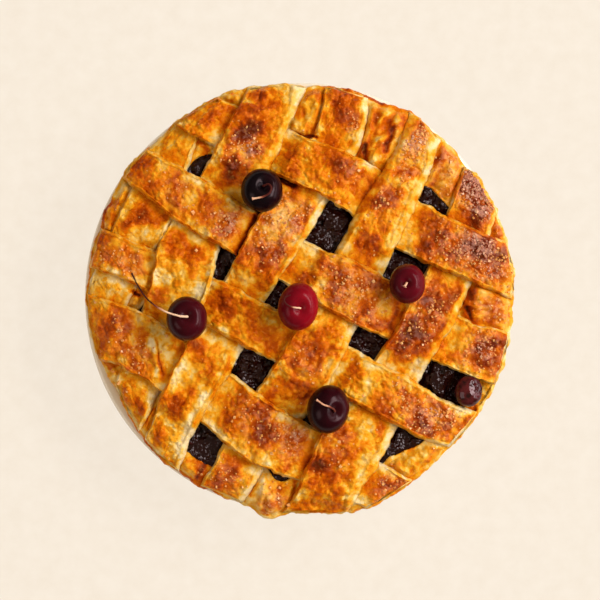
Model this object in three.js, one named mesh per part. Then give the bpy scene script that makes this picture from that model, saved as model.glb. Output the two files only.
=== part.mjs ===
// A whole baked cherry pie in its own white dish: a pastry shell with a rim of dough,
// a dark cherry filling, a woven lattice of nine hand-cut strips, and five fresh
// cherries with their stems set into the openings of the lattice.
// Millimetres, +Z up, origin at the centre of the dish's foot, on the table.

import * as THREE from "three";

// ---------- The dish ----------
const DISH_RIM_RADIUS = 116;
const DISH_HEIGHT = 38;
const DISH_FOOT_RADIUS = 84;
const DISH_FLOOR = 6;
const DISH_WALL = 5;
const DISH_LIP_WIDTH = 8;
const DISH_SIDES = 56;

// ---------- The crust and the filling ----------
const GAP = 0.35; // left between pieces that lie on each other
const SHELL_THICK = 4.5; // pastry lining the dish
const RIM_THICK = 5.5; // pastry lying on the dish's rim
const RIM_INNER_RADIUS = 103; // where the rim of pastry meets the filling, at most
const CRUST_RADIUS = 115; // mean radius of the baked edge
const EDGE_FALL = 3.2; // the crust's edge bends down this far
const EDGE_FALL_WIDTH = 13;
const DOME = 4.5; // the middle of the pie stands this much above its rim
const RIM_WAVE = 0.5; // low places in the rim's top
const RIM_WAVE_PITCH = 21;
const PASTRY_SIDES = 60; // the crust and the filling share their corners
const RIM_SLOPE = 1.5; // the rim's inner edge slopes down by this much into the filling
const FILLING_RINGS = 11;
const LUMP_HEIGHT = 3.5; // cherries in the filling stand up from their syrup
const LUMP_RADIUS = 10;
const LUMP_SPACING = 9;
const LUMP_COUNT = 130;

// The baked edge swells and draws in around the pie: angle, outward amount, spread.
const EDGE_SWELLS = [
  [7, 1.6, 6],
  [34, 1.6, 5],
  [56, 1.4, 5],
  [70, -1.8, 8],
  [86, -1.2, 5],
  [109, 1.9, 9],
  [132, -1.2, 4],
  [142, 1.3, 4],
  [163, -1, 14],
  [208, -4, 16],
  [262, 5.2, 4.2],
  [287, 4.4, 14],
  [336, -2.4, 3],
];

// The rim of pastry is crumpled in over the filling between some strips: angle,
// inward amount, spread.
const RIM_FOLDS = [
  [35, 13, 12],
  [63, 28, 12],
  [85, 15, 9],
  [122, 9, 5],
  [179, 22, 10],
  [217, 10, 8],
  [262, 4, 6],
  [271, 9, 5],
  [300, 6, 7],
  [331, -6, 7],
  [357, 19, 10],
];

// ---------- The lattice ----------
const STRIP_THICK = 4.9;
const PRESSED_SHARE = 0.34; // a strip is thinner by this share where another lies on it
const CROSSING_GAP = 0.9; // left between strips where they cross
const SLOPE_START = 1; // a strip stays up this far beyond the strip that it crosses
const SLOPE_REACH = 10; // and is back down at this distance
const STRIP_TOP_SHARE = 0.9; // its top is this much narrower than its base
const STRIP_SHOULDER = 0.36; // and its top edges are this much lower than its middle
const STRIP_SECTIONS = 30;
const SHORT_STRIP_SECTIONS = 20;
const STRIP_COLUMNS = 5;
const TRAIL_POINTS = 110; // along the middle line, to measure distances from
const RAGGED = 0.035; // share by which its width wanders, over the pitch below
const RAGGED_PITCH = 37;
const EDGE_THINNING = 0.3; // a strip is thinner by this share at the baked edge
const END_CROWDING = 0.2; // sections stand closer together towards the ends
const END_INSET = 1; // strips stop just inside the baked edge
const END_ROUND = 2.2;
const BLISTER = 0.45; // height of the swells baked into its top
const BLISTER_PITCH = 15;

// Each strip's middle line across the pie, with its width: x, y, width.
const DOWN_STRIPS = {
  strip_down_1: [
    [-64, 104, 25], [-32, 88, 25], [1, 73, 25], [25, 63, 28],
    [59, 40, 26], [89, 24, 27], [121, 12, 30],
  ],
  strip_down_2: [
    [-102, 81, 18], [-80, 66, 22], [-53, 48, 26], [-29, 34, 25],
    [6, 14, 27], [30, 1, 28], [81, -24, 29], [118, -36, 31],
  ],
  strip_down_3: [
    [-118, 30, 21], [-90, 19, 21], [-61, 5, 24], [-29, -12, 26],
    [38, -47, 26], [70, -64, 24], [97, -75, 23],
  ],
  strip_down_4: [
    [-121, -12, 31], [-90, -23, 32], [-70, -35, 30], [-26, -67, 31],
    [-5, -79, 30], [25, -94, 27], [58, -111, 25],
  ],
};
const UP_STRIPS = {
  strip_up_0: [[-54, 111, 22], [-65, 88, 22], [-82.5, 45, 26], [-102, 4, 25], [-114, -22, 24]],
  strip_up_1: [
    [-7, 121, 27], [-30, 74, 30], [-52, 40, 28], [-61, 24, 29],
    [-66, 4, 29], [-82, -39, 25], [-100, -74, 24],
  ],
  strip_up_2: [
    [28, 124, 25], [22, 89, 25], [11, 70, 26], [-9, 38, 27],
    [-26, 9, 27], [-50, -34, 27], [-68, -71, 24], [-77, -95, 24],
  ],
  strip_up_3: [
    [75, 114, 22], [63, 79, 22], [45, 43, 27], [19, -8, 29],
    [7, -31, 30], [-4, -49, 30], [-29, -85, 26], [-49, -118, 24],
  ],
  strip_up_4: [
    [112, 94, 26], [97, 56, 26], [82, 16, 27], [67, -13, 29],
    [58, -28, 28], [29, -78, 32], [19, -97, 32], [3, -127, 30],
  ],
};

// ---------- The cherries ----------
// Plan place, half sizes across, along and up, turn of the long way, and where the
// stem end leans: direction in degrees and lean from upright.
const CHERRIES = {
  cherry_1: { x: -19.8, y: 56.7, half: [10.6, 11.4, 10.4], turn: 0, leanTo: 66, lean: 20 },
  cherry_2: { x: -59.4, y: -11.5, half: [10.9, 11.9, 10.6], turn: 0, leanTo: 80, lean: 10 },
  cherry_3: { x: -0.5, y: -5.1, half: [10.8, 12.8, 10.8], turn: -8, leanTo: -40, lean: 10 },
  cherry_4: { x: 57.5, y: 7.0, half: [9.6, 10.7, 9.8], turn: 0, leanTo: 160, lean: 7 },
  cherry_5: { x: 15.5, y: -59.7, half: [11.3, 13.0, 10.9], turn: -12, leanTo: -12, lean: 28 },
};
const CHERRY_SIDES = 16;
const CHERRY_RINGS = 9;
const REST_RINGS = 9; // places tried below a cherry to find what it rests on
const REST_STEPS = 28;
const DIMPLE_DEPTH = 0.2; // share of the radius
const DIMPLE_SPREAD = 0.42; // radians
// The cooked cherry that swells out of the filling beside the rim.
const FILLING_CHERRY = { x: 90.9, y: -50.5, half: [5.9, 7.8, 5.2], turn: -8 };
const FILLING_DENT = 6.5; // the filling lies this much lower below it
const FILLING_DENT_RADIUS = 15;
const DENT_IN_RIM = 0.35; // and the rim by this share of that

// Stems: steps from the bottom of the dimple, then their thickness.
const STEM_RADIUS = 0.75;
const STEM_SIDES = 6;
const STEM_STEPS = 10;
const STEMS = {
  stem_1: {
    cherry: "cherry_1",
    steps: [
      [0, 0, 1.0], [2.2, -0.6, 2.6], [3.0, -3.6, 4.0],
      [0.6, -6.6, 4.4], [-3.6, -8.2, 4.6], [-7.0, -7.8, 4.4],
    ],
  },
  stem_2: {
    cherry: "cherry_2",
    steps: [
      [0, 0, 1.0], [-4, 0.4, 3.6], [-12, 3.2, 5.2],
      [-20, 8.6, 1.6], [-25.4, 15.4, -5.5], [-29.6, 22.8, -11.5],
    ],
  },
  stem_3: {
    cherry: "cherry_3",
    steps: [
      [0, 0, 1.0], [-1.8, 0.2, 2.4], [-4.6, 0.8, 3.4],
      [-7.4, 2.4, 3.8], [-8.0, 5.2, 3.6], [-5.0, 7.0, 3.2],
    ],
  },
  stem_4: {
    cherry: "cherry_4",
    steps: [[0, 0, 1.0], [0.1, 0.1, 2.0], [-0.4, -0.4, 3.2], [-1.2, -1.8, 3.8]],
  },
  stem_5: {
    cherry: "cherry_5",
    steps: [
      [0, 0, 1.0], [-0.6, 1.2, 2.2], [-3.2, 2.6, 4.2],
      [-6.2, 3.8, 5.0], [-9.6, 6.2, 5.4],
    ],
  },
};

// ---------- Finishes ----------
const FINISHES = {
  dish: { color: 0xf3f1ec, roughness: 0.25, metalness: 0 },
  crust: { color: 0xdc9a3e, roughness: 0.6, metalness: 0 },
  filling: { color: 0x2a0d10, roughness: 0.2, metalness: 0 },
  cherry: { color: 0x5e0d18, roughness: 0.22, metalness: 0 },
  stem: { color: 0x9a5a44, roughness: 0.6, metalness: 0 },
};

// The top of the pastry that lies on the dish's rim.
const RIM_TOP = DISH_HEIGHT + GAP + RIM_THICK;

const DEGREES = Math.PI / 180;

// Rises smoothly from 0 at the first value to 1 at the second.
function ramp(from, to, value) {
  return THREE.MathUtils.smoothstep(value, from, to);
}

// Soft unevenness between -1 and 1, with swells about one pitch apart.
function uneven(x, y, pitch, phase) {
  const k = (2 * Math.PI) / pitch;
  const first = Math.sin(k * (0.93 * x + 0.37 * y) + phase);
  const second = Math.sin(k * (0.88 * y - 0.41 * x) + 2.1 * phase);
  const third = Math.sin(1.31 * k * (0.62 * x - 0.71 * y) + 3.7 * phase);
  return (first + second + third) / 3;
}

// The sum of soft bumps round the pie at an angle, each an angle, amount and spread.
function bumps(list, angle) {
  let sum = 0;
  for (const [at, amount, spread] of list) {
    let off = angle / DEGREES - at;
    off -= 360 * Math.round(off / 360);
    sum += amount * Math.exp(-((off / spread) ** 2));
  }
  return sum;
}

// Radius of the baked edge in a direction from the middle of the pie.
function edgeRadius(angle) {
  return CRUST_RADIUS + bumps(EDGE_SWELLS, angle);
}

// Radius where the rim of pastry meets the filling in that direction.
function rimRadius(angle) {
  return RIM_INNER_RADIUS - bumps(RIM_FOLDS, angle);
}

// How far a place lies inside the baked edge.
function insideEdge(x, y) {
  return edgeRadius(Math.atan2(y, x)) - Math.hypot(x, y);
}

// The level that the lattice lies on: a low dome that bends down at the edge.
function bedHeight(x, y) {
  const share = Math.min(1, Math.hypot(x, y) / RIM_INNER_RADIUS);
  const dome = DOME * Math.cos((share * Math.PI) / 2) ** 2;
  const outward = Math.max(0, 1 - insideEdge(x, y) / EDGE_FALL_WIDTH);
  return RIM_TOP + GAP + dome - EDGE_FALL * outward * outward;
}

// The hollow below the cooked cherry that stands out of the filling.
function dent(x, y) {
  const away = Math.hypot(x - FILLING_CHERRY.x, y - FILLING_CHERRY.y);
  return FILLING_DENT * (1 - ramp(FILLING_DENT_RADIUS * 0.45, FILLING_DENT_RADIUS, away));
}

// ---------- Strips ----------
class Strip {
  constructor(name, stations) {
    const points = stations.map(([x, y, width]) => new THREE.Vector3(x, y, width / 2));
    this.name = name;
    this.route = new THREE.CatmullRomCurve3(points, false, "catmullrom", 0.5);
    this.trail = this.route.getSpacedPoints(TRAIL_POINTS);
    this.below = []; // strips that it passes over
    this.above = []; // strips that pass over it
  }

  // The place at a share of its route, some half widths to the right of its middle.
  place(share, across) {
    const middle = this.route.getPointAt(share);
    const along = this.route.getTangentAt(share).setZ(0).normalize();
    const ragged = 1 + RAGGED * uneven(middle.x, middle.y, RAGGED_PITCH, 2 * across);
    const offset = across * middle.z * ragged;
    return [middle.x + offset * along.y, middle.y - offset * along.x];
  }

  // How far a place lies outside its edge; less than zero on the strip.
  beyond(x, y) {
    let nearest = Infinity;
    for (const point of this.trail) {
      const away = Math.hypot(x - point.x, y - point.y) - point.z;
      nearest = Math.min(nearest, away);
    }
    return nearest;
  }

  // 1 on the strip, falling to 0 at the end of the slope beside it.
  cover(x, y) {
    return 1 - ramp(SLOPE_START, SLOPE_REACH, this.beyond(x, y));
  }

  // Shares of the route where it enters and leaves the baked edge.
  span(across, inset) {
    const outside = (share) => insideEdge(...this.place(share, across)) < inset;
    const crossing = (out, into) => {
      let [a, b] = [out, into];
      for (let i = 0; i < 24; i++) {
        const middle = (a + b) / 2;
        if (outside(middle)) a = middle;
        else b = middle;
      }
      return b;
    };
    return [crossing(0, 0.35), crossing(1, 0.65)];
  }

  // 1 where another strip lies on it.
  pressed(x, y) {
    return Math.max(0, ...this.above.map((strip) => strip.cover(x, y)));
  }

  thickness(x, y) {
    const edge = 1 - ramp(0, EDGE_FALL_WIDTH, insideEdge(x, y));
    const pressed = 1 - PRESSED_SHARE * this.pressed(x, y);
    return STRIP_THICK * pressed * (1 - EDGE_THINNING * edge);
  }

  // How far its underside is lifted off the bed by the strips below it.
  lift(x, y, depth = 3) {
    if (depth === 0) return 0;
    let sum = 0;
    for (const strip of this.below) {
      const cover = strip.cover(x, y);
      if (cover === 0) continue;
      const rise = strip.lift(x, y, depth - 1) + strip.thickness(x, y) + CROSSING_GAP;
      sum += (rise * cover) ** 4;
    }
    return sum ** 0.25;
  }
}

const downStrips = Object.entries(DOWN_STRIPS).map(([name, stations]) => new Strip(name, stations));
const upStrips = Object.entries(UP_STRIPS).map(([name, stations]) => new Strip(name, stations));
const allStrips = [...downStrips, ...upStrips];

// The weave: a crossing goes over and under by turns, and the short strip is always below.
downStrips.forEach((down, i) => {
  upStrips.forEach((up, j) => {
    const upIsOver = j > 0 && (i + 1 + j) % 2 === 0;
    (upIsOver ? up : down).below.push(upIsOver ? down : up);
    (upIsOver ? down : up).above.push(upIsOver ? up : down);
  });
});

// A box bent along the strip's route, laid over what is below it and cut to the edge.
function stripGeometry(strip) {
  const sections = strip.route.points.length > 5 ? STRIP_SECTIONS : SHORT_STRIP_SECTIONS;
  const box = new THREE.BoxGeometry(2, 1, 1, STRIP_COLUMNS, sections, 1);
  const position = box.getAttribute("position");
  for (let i = 0; i < position.count; i++) {
    const onTop = position.getZ(i) > 0;
    const across = position.getX(i);
    const [start, end] = strip.span(across, onTop ? END_ROUND : END_INSET);
    const even = position.getY(i) + 0.5;
    const closer = 0.5 - 0.5 * Math.cos(even * Math.PI);
    const share = THREE.MathUtils.lerp(even, closer, END_CROWDING);
    const along = THREE.MathUtils.lerp(start, end, share);
    const [x, y] = strip.place(along, across * (onTop ? STRIP_TOP_SHARE : 1));
    let z = bedHeight(x, y) + strip.lift(x, y);
    if (onTop) {
      const round = 1 - STRIP_SHOULDER * Math.abs(across) ** 6;
      const swell = uneven(x, y, BLISTER_PITCH, strip.trail[0].x) * (1 - strip.pressed(x, y));
      z += strip.thickness(x, y) * round + BLISTER * swell;
    }
    position.setXYZ(i, x, y, z);
  }
  return box;
}

// ---------- Turned pieces whose profile changes round the pie ----------
// The profile runs from the axis underneath, out, and back to the axis on top.
function turned(profileAt, sides) {
  const positions = [];
  const index = [];
  let rings = 0;
  for (let side = 0; side < sides; side++) {
    const angle = (side / sides) * 2 * Math.PI;
    const profile = profileAt(angle);
    rings = profile.length - 2;
    for (const [radius, z] of profile.slice(1, -1)) {
      positions.push(radius * Math.cos(angle), radius * Math.sin(angle), z);
    }
  }
  const ends = profileAt(0);
  const bottom = positions.length / 3;
  positions.push(0, 0, ends[0][1], 0, 0, ends[ends.length - 1][1]);
  for (let side = 0; side < sides; side++) {
    const here = side * rings;
    const next = ((side + 1) % sides) * rings;
    index.push(bottom, next, here);
    for (let ring = 0; ring < rings - 1; ring++) {
      const [a, b, c, d] = [here + ring, next + ring, next + ring + 1, here + ring + 1];
      // Each patch is split from its low side here to its high side there, whichever
      // way the profile runs, so that two pieces that face each other stay parallel.
      const rises = positions[3 * d + 2] > positions[3 * a + 2];
      if (rises) index.push(a, b, c, a, c, d);
      else index.push(a, b, d, b, c, d);
    }
    index.push(bottom + 1, here + rings - 1, next + rings - 1);
  }
  const geometry = new THREE.BufferGeometry();
  geometry.setAttribute("position", new THREE.Float32BufferAttribute(positions, 3));
  geometry.setIndex(index);
  geometry.computeVertexNormals();
  return geometry;
}

// The inner face of the dish's wall is straight from its floor to its lip.
const WALL_FOOT = [DISH_FOOT_RADIUS - 3, DISH_FLOOR];
const WALL_HEAD = [DISH_RIM_RADIUS - DISH_LIP_WIDTH, DISH_HEIGHT - 2.5];

function dishGeometry() {
  const [footRadius, floor] = WALL_FOOT;
  const [headRadius, head] = WALL_HEAD;
  return turned(
    () => [
      [0, 0],
      [DISH_FOOT_RADIUS - 1.5, 0],
      [DISH_FOOT_RADIUS + 0.5, 1.2],
      [DISH_FOOT_RADIUS + 5, 5],
      [headRadius + DISH_WALL - 2, head - 6],
      [headRadius + DISH_WALL, head - 3.2],
      [DISH_RIM_RADIUS - 0.6, DISH_HEIGHT - 4.2],
      [DISH_RIM_RADIUS, DISH_HEIGHT - 2.4],
      [DISH_RIM_RADIUS - 1, DISH_HEIGHT - 0.6],
      [DISH_RIM_RADIUS - 3, DISH_HEIGHT],
      [headRadius + 2, DISH_HEIGHT],
      [headRadius + 0.4, DISH_HEIGHT - 0.8],
      [headRadius, head],
      [footRadius, floor + 1.4],
      [footRadius - 3, floor],
      [0, floor],
    ],
    DISH_SIDES,
  );
}

// Radius of the pastry's inner face at a height, from the corner of its floor up.
function innerFace(z, angle) {
  const head = rimRadius(angle) - 0.4;
  const foot = Math.min(head, WALL_FOOT[0] - SHELL_THICK + 1);
  const footHeight = WALL_FOOT[1] + SHELL_THICK + 2;
  const share = (z - footHeight) / (RIM_TOP - RIM_SLOPE - footHeight);
  return THREE.MathUtils.lerp(foot, head, share);
}

// A shell of pastry that lines the dish and lies out over its rim.
function crustGeometry() {
  const [footRadius, floor] = WALL_FOOT;
  const [headRadius, head] = WALL_HEAD;
  const side = GAP * 1.5;
  return turned((angle) => {
    const edge = edgeRadius(angle);
    const top = (radius) => {
      const [x, y] = [radius * Math.cos(angle), radius * Math.sin(angle)];
      const low = RIM_WAVE * ramp(0, -1, uneven(x, y, RIM_WAVE_PITCH, 1.3));
      return [radius, bedHeight(x, y) - GAP - low - DENT_IN_RIM * dent(x, y)];
    };
    const rim = rimRadius(angle);
    const nose = edge - 1.1; // where the rounded edge meets the top
    const inward = (most, share) => nose - Math.min(most, share * (nose - rim));
    const inner = (z) => [innerFace(z, angle), z];
    return [
      [0, floor + GAP],
      [footRadius - 3.4, floor + GAP],
      [footRadius - side, floor + 1.4 + GAP],
      [headRadius - side, head + GAP],
      [headRadius - side + 0.6, DISH_HEIGHT - 0.8 + GAP],
      [headRadius + 2, DISH_HEIGHT + GAP],
      [edge - 2.2, DISH_HEIGHT + GAP],
      [edge - 0.3, DISH_HEIGHT + GAP + 0.9],
      [edge, DISH_HEIGHT + GAP + 1.9],
      top(nose),
      top(inward(3.1, 0.3)),
      top(inward(6.7, 0.6)),
      top((inward(6.7, 0.6) + rim) / 2),
      top(rim + 0.2),
      inner(top(rim)[1] - RIM_SLOPE),
      inner(floor + SHELL_THICK + 2),
      [footRadius - SHELL_THICK - 4.5, floor + GAP + SHELL_THICK],
      [0, floor + GAP + SHELL_THICK],
    ];
  }, PASTRY_SIDES);
}

// Cherries lie in the filling in a spiral that keeps them evenly apart.
function lump(x, y) {
  let highest = 0;
  for (let n = 0; n < LUMP_COUNT; n++) {
    const angle = n * Math.PI * (3 - Math.sqrt(5));
    const radius = LUMP_SPACING * Math.sqrt(n + 0.5);
    const away = Math.hypot(x - radius * Math.cos(angle), y - radius * Math.sin(angle));
    highest = Math.max(highest, 1 - (away / LUMP_RADIUS) ** 2);
  }
  return Math.sqrt(highest);
}

function fillingGeometry() {
  const [footRadius, floor] = WALL_FOOT;
  const base = floor + SHELL_THICK + 2 * GAP;
  return turned((angle) => {
    const rim = rimRadius(angle);
    const top = (radius) => {
      const [x, y] = [radius * Math.cos(angle), radius * Math.sin(angle)];
      const level = ramp(rim - 15, rim - 5, radius); // even beside the pastry
      const sunk = LUMP_HEIGHT * (1 - lump(x, y)) * (1 - level);
      return [radius, bedHeight(x, y) - 2 * GAP - sunk - dent(x, y)];
    };
    const brim = top(rim - 2)[1] - RIM_SLOPE;
    const outermost = innerFace(brim, angle) - RIM_SLOPE;
    const rings = [];
    for (let ring = FILLING_RINGS; ring > 0; ring--) {
      rings.push(top(outermost * (ring / FILLING_RINGS)));
    }
    return [
      [0, base],
      [footRadius - SHELL_THICK - 6, base],
      [innerFace(base + 3, angle) - 3 * GAP, base + 3],
      [innerFace(brim, angle) - 2 * GAP, brim],
      ...rings,
      [0, top(0)[1]],
    ];
  }, PASTRY_SIDES);
}

// ---------- Cherries and stems ----------
function cherryGeometry([across, along, up], dimple) {
  const sphere = new THREE.SphereGeometry(1, CHERRY_SIDES, CHERRY_RINGS).rotateX(Math.PI / 2);
  const position = sphere.getAttribute("position");
  const point = new THREE.Vector3();
  for (let i = 0; i < position.count; i++) {
    point.fromBufferAttribute(position, i);
    const fromTop = Math.acos(THREE.MathUtils.clamp(point.z, -1, 1));
    point.multiplyScalar(1 - dimple * Math.exp(-((fromTop / DIMPLE_SPREAD) ** 2)));
    position.setXYZ(i, point.x * across, point.y * along, point.z * up);
  }
  return sphere;
}

// Lowers a round piece onto the pieces below it until only the gap is left.
function restOn(supports, x, y, [across, along, up]) {
  const down = new THREE.Vector3(0, 0, -1);
  const ray = new THREE.Raycaster();
  let height = 0;
  for (let ring = 0; ring <= REST_RINGS; ring++) {
    for (let step = 0; step < REST_STEPS; step++) {
      const angle = (step / REST_STEPS) * 2 * Math.PI;
      const share = ring / (REST_RINGS + 0.2);
      const from = new THREE.Vector3(
        x + across * share * Math.cos(angle),
        y + along * share * Math.sin(angle),
        200,
      );
      ray.set(from, down);
      const hits = ray.intersectObjects(supports, false);
      if (hits.length === 0) continue;
      height = Math.max(height, hits[0].point.z + up * Math.sqrt(1 - share * share));
    }
  }
  return height + 1.4 * GAP;
}

function stemGeometry(steps) {
  const path = new THREE.CatmullRomCurve3(steps.map((step) => new THREE.Vector3(...step)));
  const section = new THREE.Shape();
  for (let side = 0; side < STEM_SIDES; side++) {
    const angle = (side / STEM_SIDES) * 2 * Math.PI;
    const [x, y] = [STEM_RADIUS * Math.cos(angle), STEM_RADIUS * Math.sin(angle)];
    if (side === 0) section.moveTo(x, y);
    else section.lineTo(x, y);
  }
  section.closePath();
  return new THREE.ExtrudeGeometry(section, { steps: STEM_STEPS, extrudePath: path });
}

// ---------- The pie ----------
const pie = new THREE.Group();

function add(name, geometry, finish) {
  const mesh = new THREE.Mesh(geometry, new THREE.MeshStandardMaterial(FINISHES[finish]));
  mesh.name = name;
  pie.add(mesh);
  return mesh;
}

add("dish", dishGeometry(), "dish");
const crust = add("crust_base", crustGeometry(), "crust");
const filling = add("filling", fillingGeometry(), "filling");
const strips = allStrips.map((strip) => add(strip.name, stripGeometry(strip), "crust"));
const supports = [crust, filling, ...strips];

for (const [name, { x, y, half, turn, leanTo, lean }] of Object.entries(CHERRIES)) {
  const cherry = add(name, cherryGeometry(half, DIMPLE_DEPTH), "cherry");
  cherry.position.set(x, y, restOn(supports, x, y, half));
  const axis = new THREE.Vector3(-Math.sin(leanTo * DEGREES), Math.cos(leanTo * DEGREES), 0);
  cherry.quaternion.setFromAxisAngle(axis, lean * DEGREES);
  cherry.rotateZ(turn * DEGREES);
}

{
  const { x, y, half, turn } = FILLING_CHERRY;
  const cherry = add("filling_cherry", cherryGeometry(half, 0), "cherry");
  cherry.position.set(x, y, restOn(supports, x, y, half));
  cherry.rotateZ(turn * DEGREES);
}

for (const [name, { cherry, steps }] of Object.entries(STEMS)) {
  const carrier = pie.getObjectByName(cherry);
  const { half } = CHERRIES[cherry];
  const dimple = new THREE.Vector3(0, 0, half[2] * (1 - DIMPLE_DEPTH));
  dimple.applyQuaternion(carrier.quaternion).add(carrier.position);
  add(name, stemGeometry(steps), "stem").position.copy(dimple);
}

export default pie;
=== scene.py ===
# %% [markdown]
# # A cherry pie in its dish
#
# A baked pie is a good exercise in making one food out of many plain forms. There is a
# white dish, a shell of pastry with a rim, a dark and wet filling, nine strips of dough
# that were woven over it by hand, and five fresh cherries with their stems. The solids of
# these pieces exist already, at their real size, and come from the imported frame. This
# lesson makes the surfaces that the eye sees: it builds every piece again as a fine mesh
# on the same measures, and gives it the finish of the real thing.

# %% Load the frame
import itertools
import math

import bpy
import numpy as np
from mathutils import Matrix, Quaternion, Vector


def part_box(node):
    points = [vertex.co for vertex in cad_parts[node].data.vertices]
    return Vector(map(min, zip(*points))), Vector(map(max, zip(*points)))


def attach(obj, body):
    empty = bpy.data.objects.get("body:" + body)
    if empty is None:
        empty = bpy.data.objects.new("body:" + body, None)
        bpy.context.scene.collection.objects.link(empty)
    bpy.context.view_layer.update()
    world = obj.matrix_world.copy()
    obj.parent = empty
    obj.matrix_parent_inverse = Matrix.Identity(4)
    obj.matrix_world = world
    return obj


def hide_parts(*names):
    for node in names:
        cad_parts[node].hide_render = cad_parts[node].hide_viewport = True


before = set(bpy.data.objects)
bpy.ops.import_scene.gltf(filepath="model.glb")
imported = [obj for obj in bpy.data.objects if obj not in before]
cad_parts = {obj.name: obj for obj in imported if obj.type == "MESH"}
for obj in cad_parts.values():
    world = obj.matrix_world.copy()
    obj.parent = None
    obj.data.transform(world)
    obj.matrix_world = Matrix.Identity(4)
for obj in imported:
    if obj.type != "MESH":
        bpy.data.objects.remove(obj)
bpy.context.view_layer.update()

print("the frame holds", len(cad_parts), "nodes")

# %% [markdown]
# ## Camera and light
#
# The pie is seen from straight above. A long lens far away keeps the sides of the strips
# from leaning outward, as a short lens would. A big soft window stands to the right. It
# makes the short shadows that show how thick the strips are, and the long soft shine on
# the cherries. A lower window beside it brings out the blisters of the dough, and a weak
# light on the left keeps the shadows open.

# %% Camera
MM = 0.001
VIEW_WIDTH = 321 * MM
VIEW_LEVEL = 50 * MM  # the frame is this wide at the height of the lattice
VIEW_CENTRE = (0.5 * MM, -1.6 * MM)
CAMERA_HEIGHT = 1.6
SENSOR_WIDTH = 36  # millimetres, as the lens is given in

camera_data = bpy.data.cameras.new("above")
camera_data.sensor_width = SENSOR_WIDTH
camera_data.lens = SENSOR_WIDTH * (CAMERA_HEIGHT - VIEW_LEVEL) / VIEW_WIDTH
camera = bpy.data.objects.new("above", camera_data)
camera.location = (*VIEW_CENTRE, CAMERA_HEIGHT)
bpy.context.scene.collection.objects.link(camera)
bpy.context.scene.camera = camera
print("lens", round(camera_data.lens, 1), "mm")

# %% Light
PIE_MIDDLE = Vector((0, 0, 45 * MM))
# Direction and height in degrees, distance and size in metres, power in watts, colour.
WINDOWS = {
    "key_window": (18, 44, 2.4, (2.2, 0.6), 62.5, (1.0, 0.97, 0.90)),
    "low_window": (8, 16, 2.2, (2.4, 0.45), 17, (1.0, 0.96, 0.92)),
    "soft_fill": (205, 38, 2.4, (1.2, 1.2), 11, (1.0, 0.90, 0.80)),
}


def window(name, azimuth, elevation, distance, size, power, color):
    """A soft light that looks at the middle of the pie from a direction."""
    light = bpy.data.lights.new(name, "AREA")
    light.shape = "RECTANGLE"
    light.size, light.size_y = size
    light.energy = power
    light.color = color
    lamp = bpy.data.objects.new(name, light)
    a, e = math.radians(azimuth), math.radians(elevation)
    way = Vector((math.cos(a) * math.cos(e), math.sin(a) * math.cos(e), math.sin(e)))
    lamp.location = PIE_MIDDLE + way * distance
    lamp.rotation_euler = way.to_track_quat("Z", "Y").to_euler()
    bpy.context.scene.collection.objects.link(lamp)


for name, values in WINDOWS.items():
    window(name, *values)
bpy.context.scene.view_settings.view_transform = "Standard"
print(len(WINDOWS), "soft lights")

# %% [markdown]
# ## Helpers for shapes
#
# Baked dough is never smooth. Instead of painting bumps on afterwards, every mesh here is
# moved point by point by soft random swells. The swells are gradient noise: each corner
# of a grid of cubes gets a fixed random slope, and between the corners the slopes are
# blended. The same corner always gets the same slope, so the pie comes out the same each
# time. All lengths are millimetres until a piece is made.

# %% Random swells
# Large odd numbers that scatter the corners; any others would make another pie.
SCATTER = 374761393, 668265263, 1440662683
SCATTER_SEED, SCATTER_AGAIN = 974711, 1274126177
WHOLE_WORD, HALF_WORD = 0xFFFFFFFF, 0xFFFF


def slope(corner, seed, axis):
    """A fixed random number from -1 to 1 for a corner of the grid of cubes."""
    mixed = sum(corner[..., k] * SCATTER[k] for k in range(3)) + (seed * 3 + axis) * SCATTER_SEED
    mixed = mixed & WHOLE_WORD
    mixed = ((mixed ^ (mixed >> 13)) * SCATTER_AGAIN) & WHOLE_WORD
    return ((mixed ^ (mixed >> 16)) & HALF_WORD) / (HALF_WORD / 2) - 1


SEED_SHIFT, STRETCH = 0.37, 1.7  # every seed starts elsewhere; stretched to fill -1 to 1


def swells(points, pitch, seed=0):
    """Soft random values, mostly from -1 to 1, with one swell about every pitch."""
    place = np.asarray(points, float) / pitch + SEED_SHIFT * seed
    corner = np.floor(place).astype(np.int64)
    inside = place - corner
    fade = inside**3 * (inside * (inside * 6 - 15) + 10)
    total = np.zeros(place.shape[:-1])
    for offset in itertools.product((0, 1), repeat=3):
        at = corner + np.array(offset)
        share = np.prod(np.where(offset, fade, 1 - fade), axis=-1)
        pull = sum(slope(at, seed, k) * (inside[..., k] - offset[k]) for k in range(3))
        total += share * pull
    return STRETCH * total


def rough(points, pitch, layers, seed=0):
    """Swells with finer and lower swells on them."""
    return sum(swells(points, pitch / 2**k, seed + k) / 2**k for k in range(layers))


STREWN = 0.45  # how far a seed may lie from the middle of its cube
# How far small ones outnumber large ones, how flat their tops are, and their half width.
BLISTER_SIZES, BLISTER_TOP, BLISTER_REACH = 1.3, 1.15, 0.62


def cells(points, pitch, seed):
    """How far the nearest of randomly strewn seeds is, in pitches, and its own number."""
    place = np.asarray(points, float) / pitch
    home = np.floor(place).astype(np.int64)
    nearest, number = np.full(place.shape[:-1], 9.0), np.zeros(place.shape[:-1])
    for offset in itertools.product((-1, 0, 1), repeat=3):
        corner = home + np.array(offset)
        aside = np.stack([slope(corner, seed, k) for k in range(3)], axis=-1)
        away = np.linalg.norm(place - (corner + 0.5 + STREWN * aside), axis=-1)
        number = np.where(away < nearest, 0.5 + 0.5 * slope(corner, seed + 50, 0), number)
        nearest = np.minimum(nearest, away)
    return nearest, number


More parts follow.
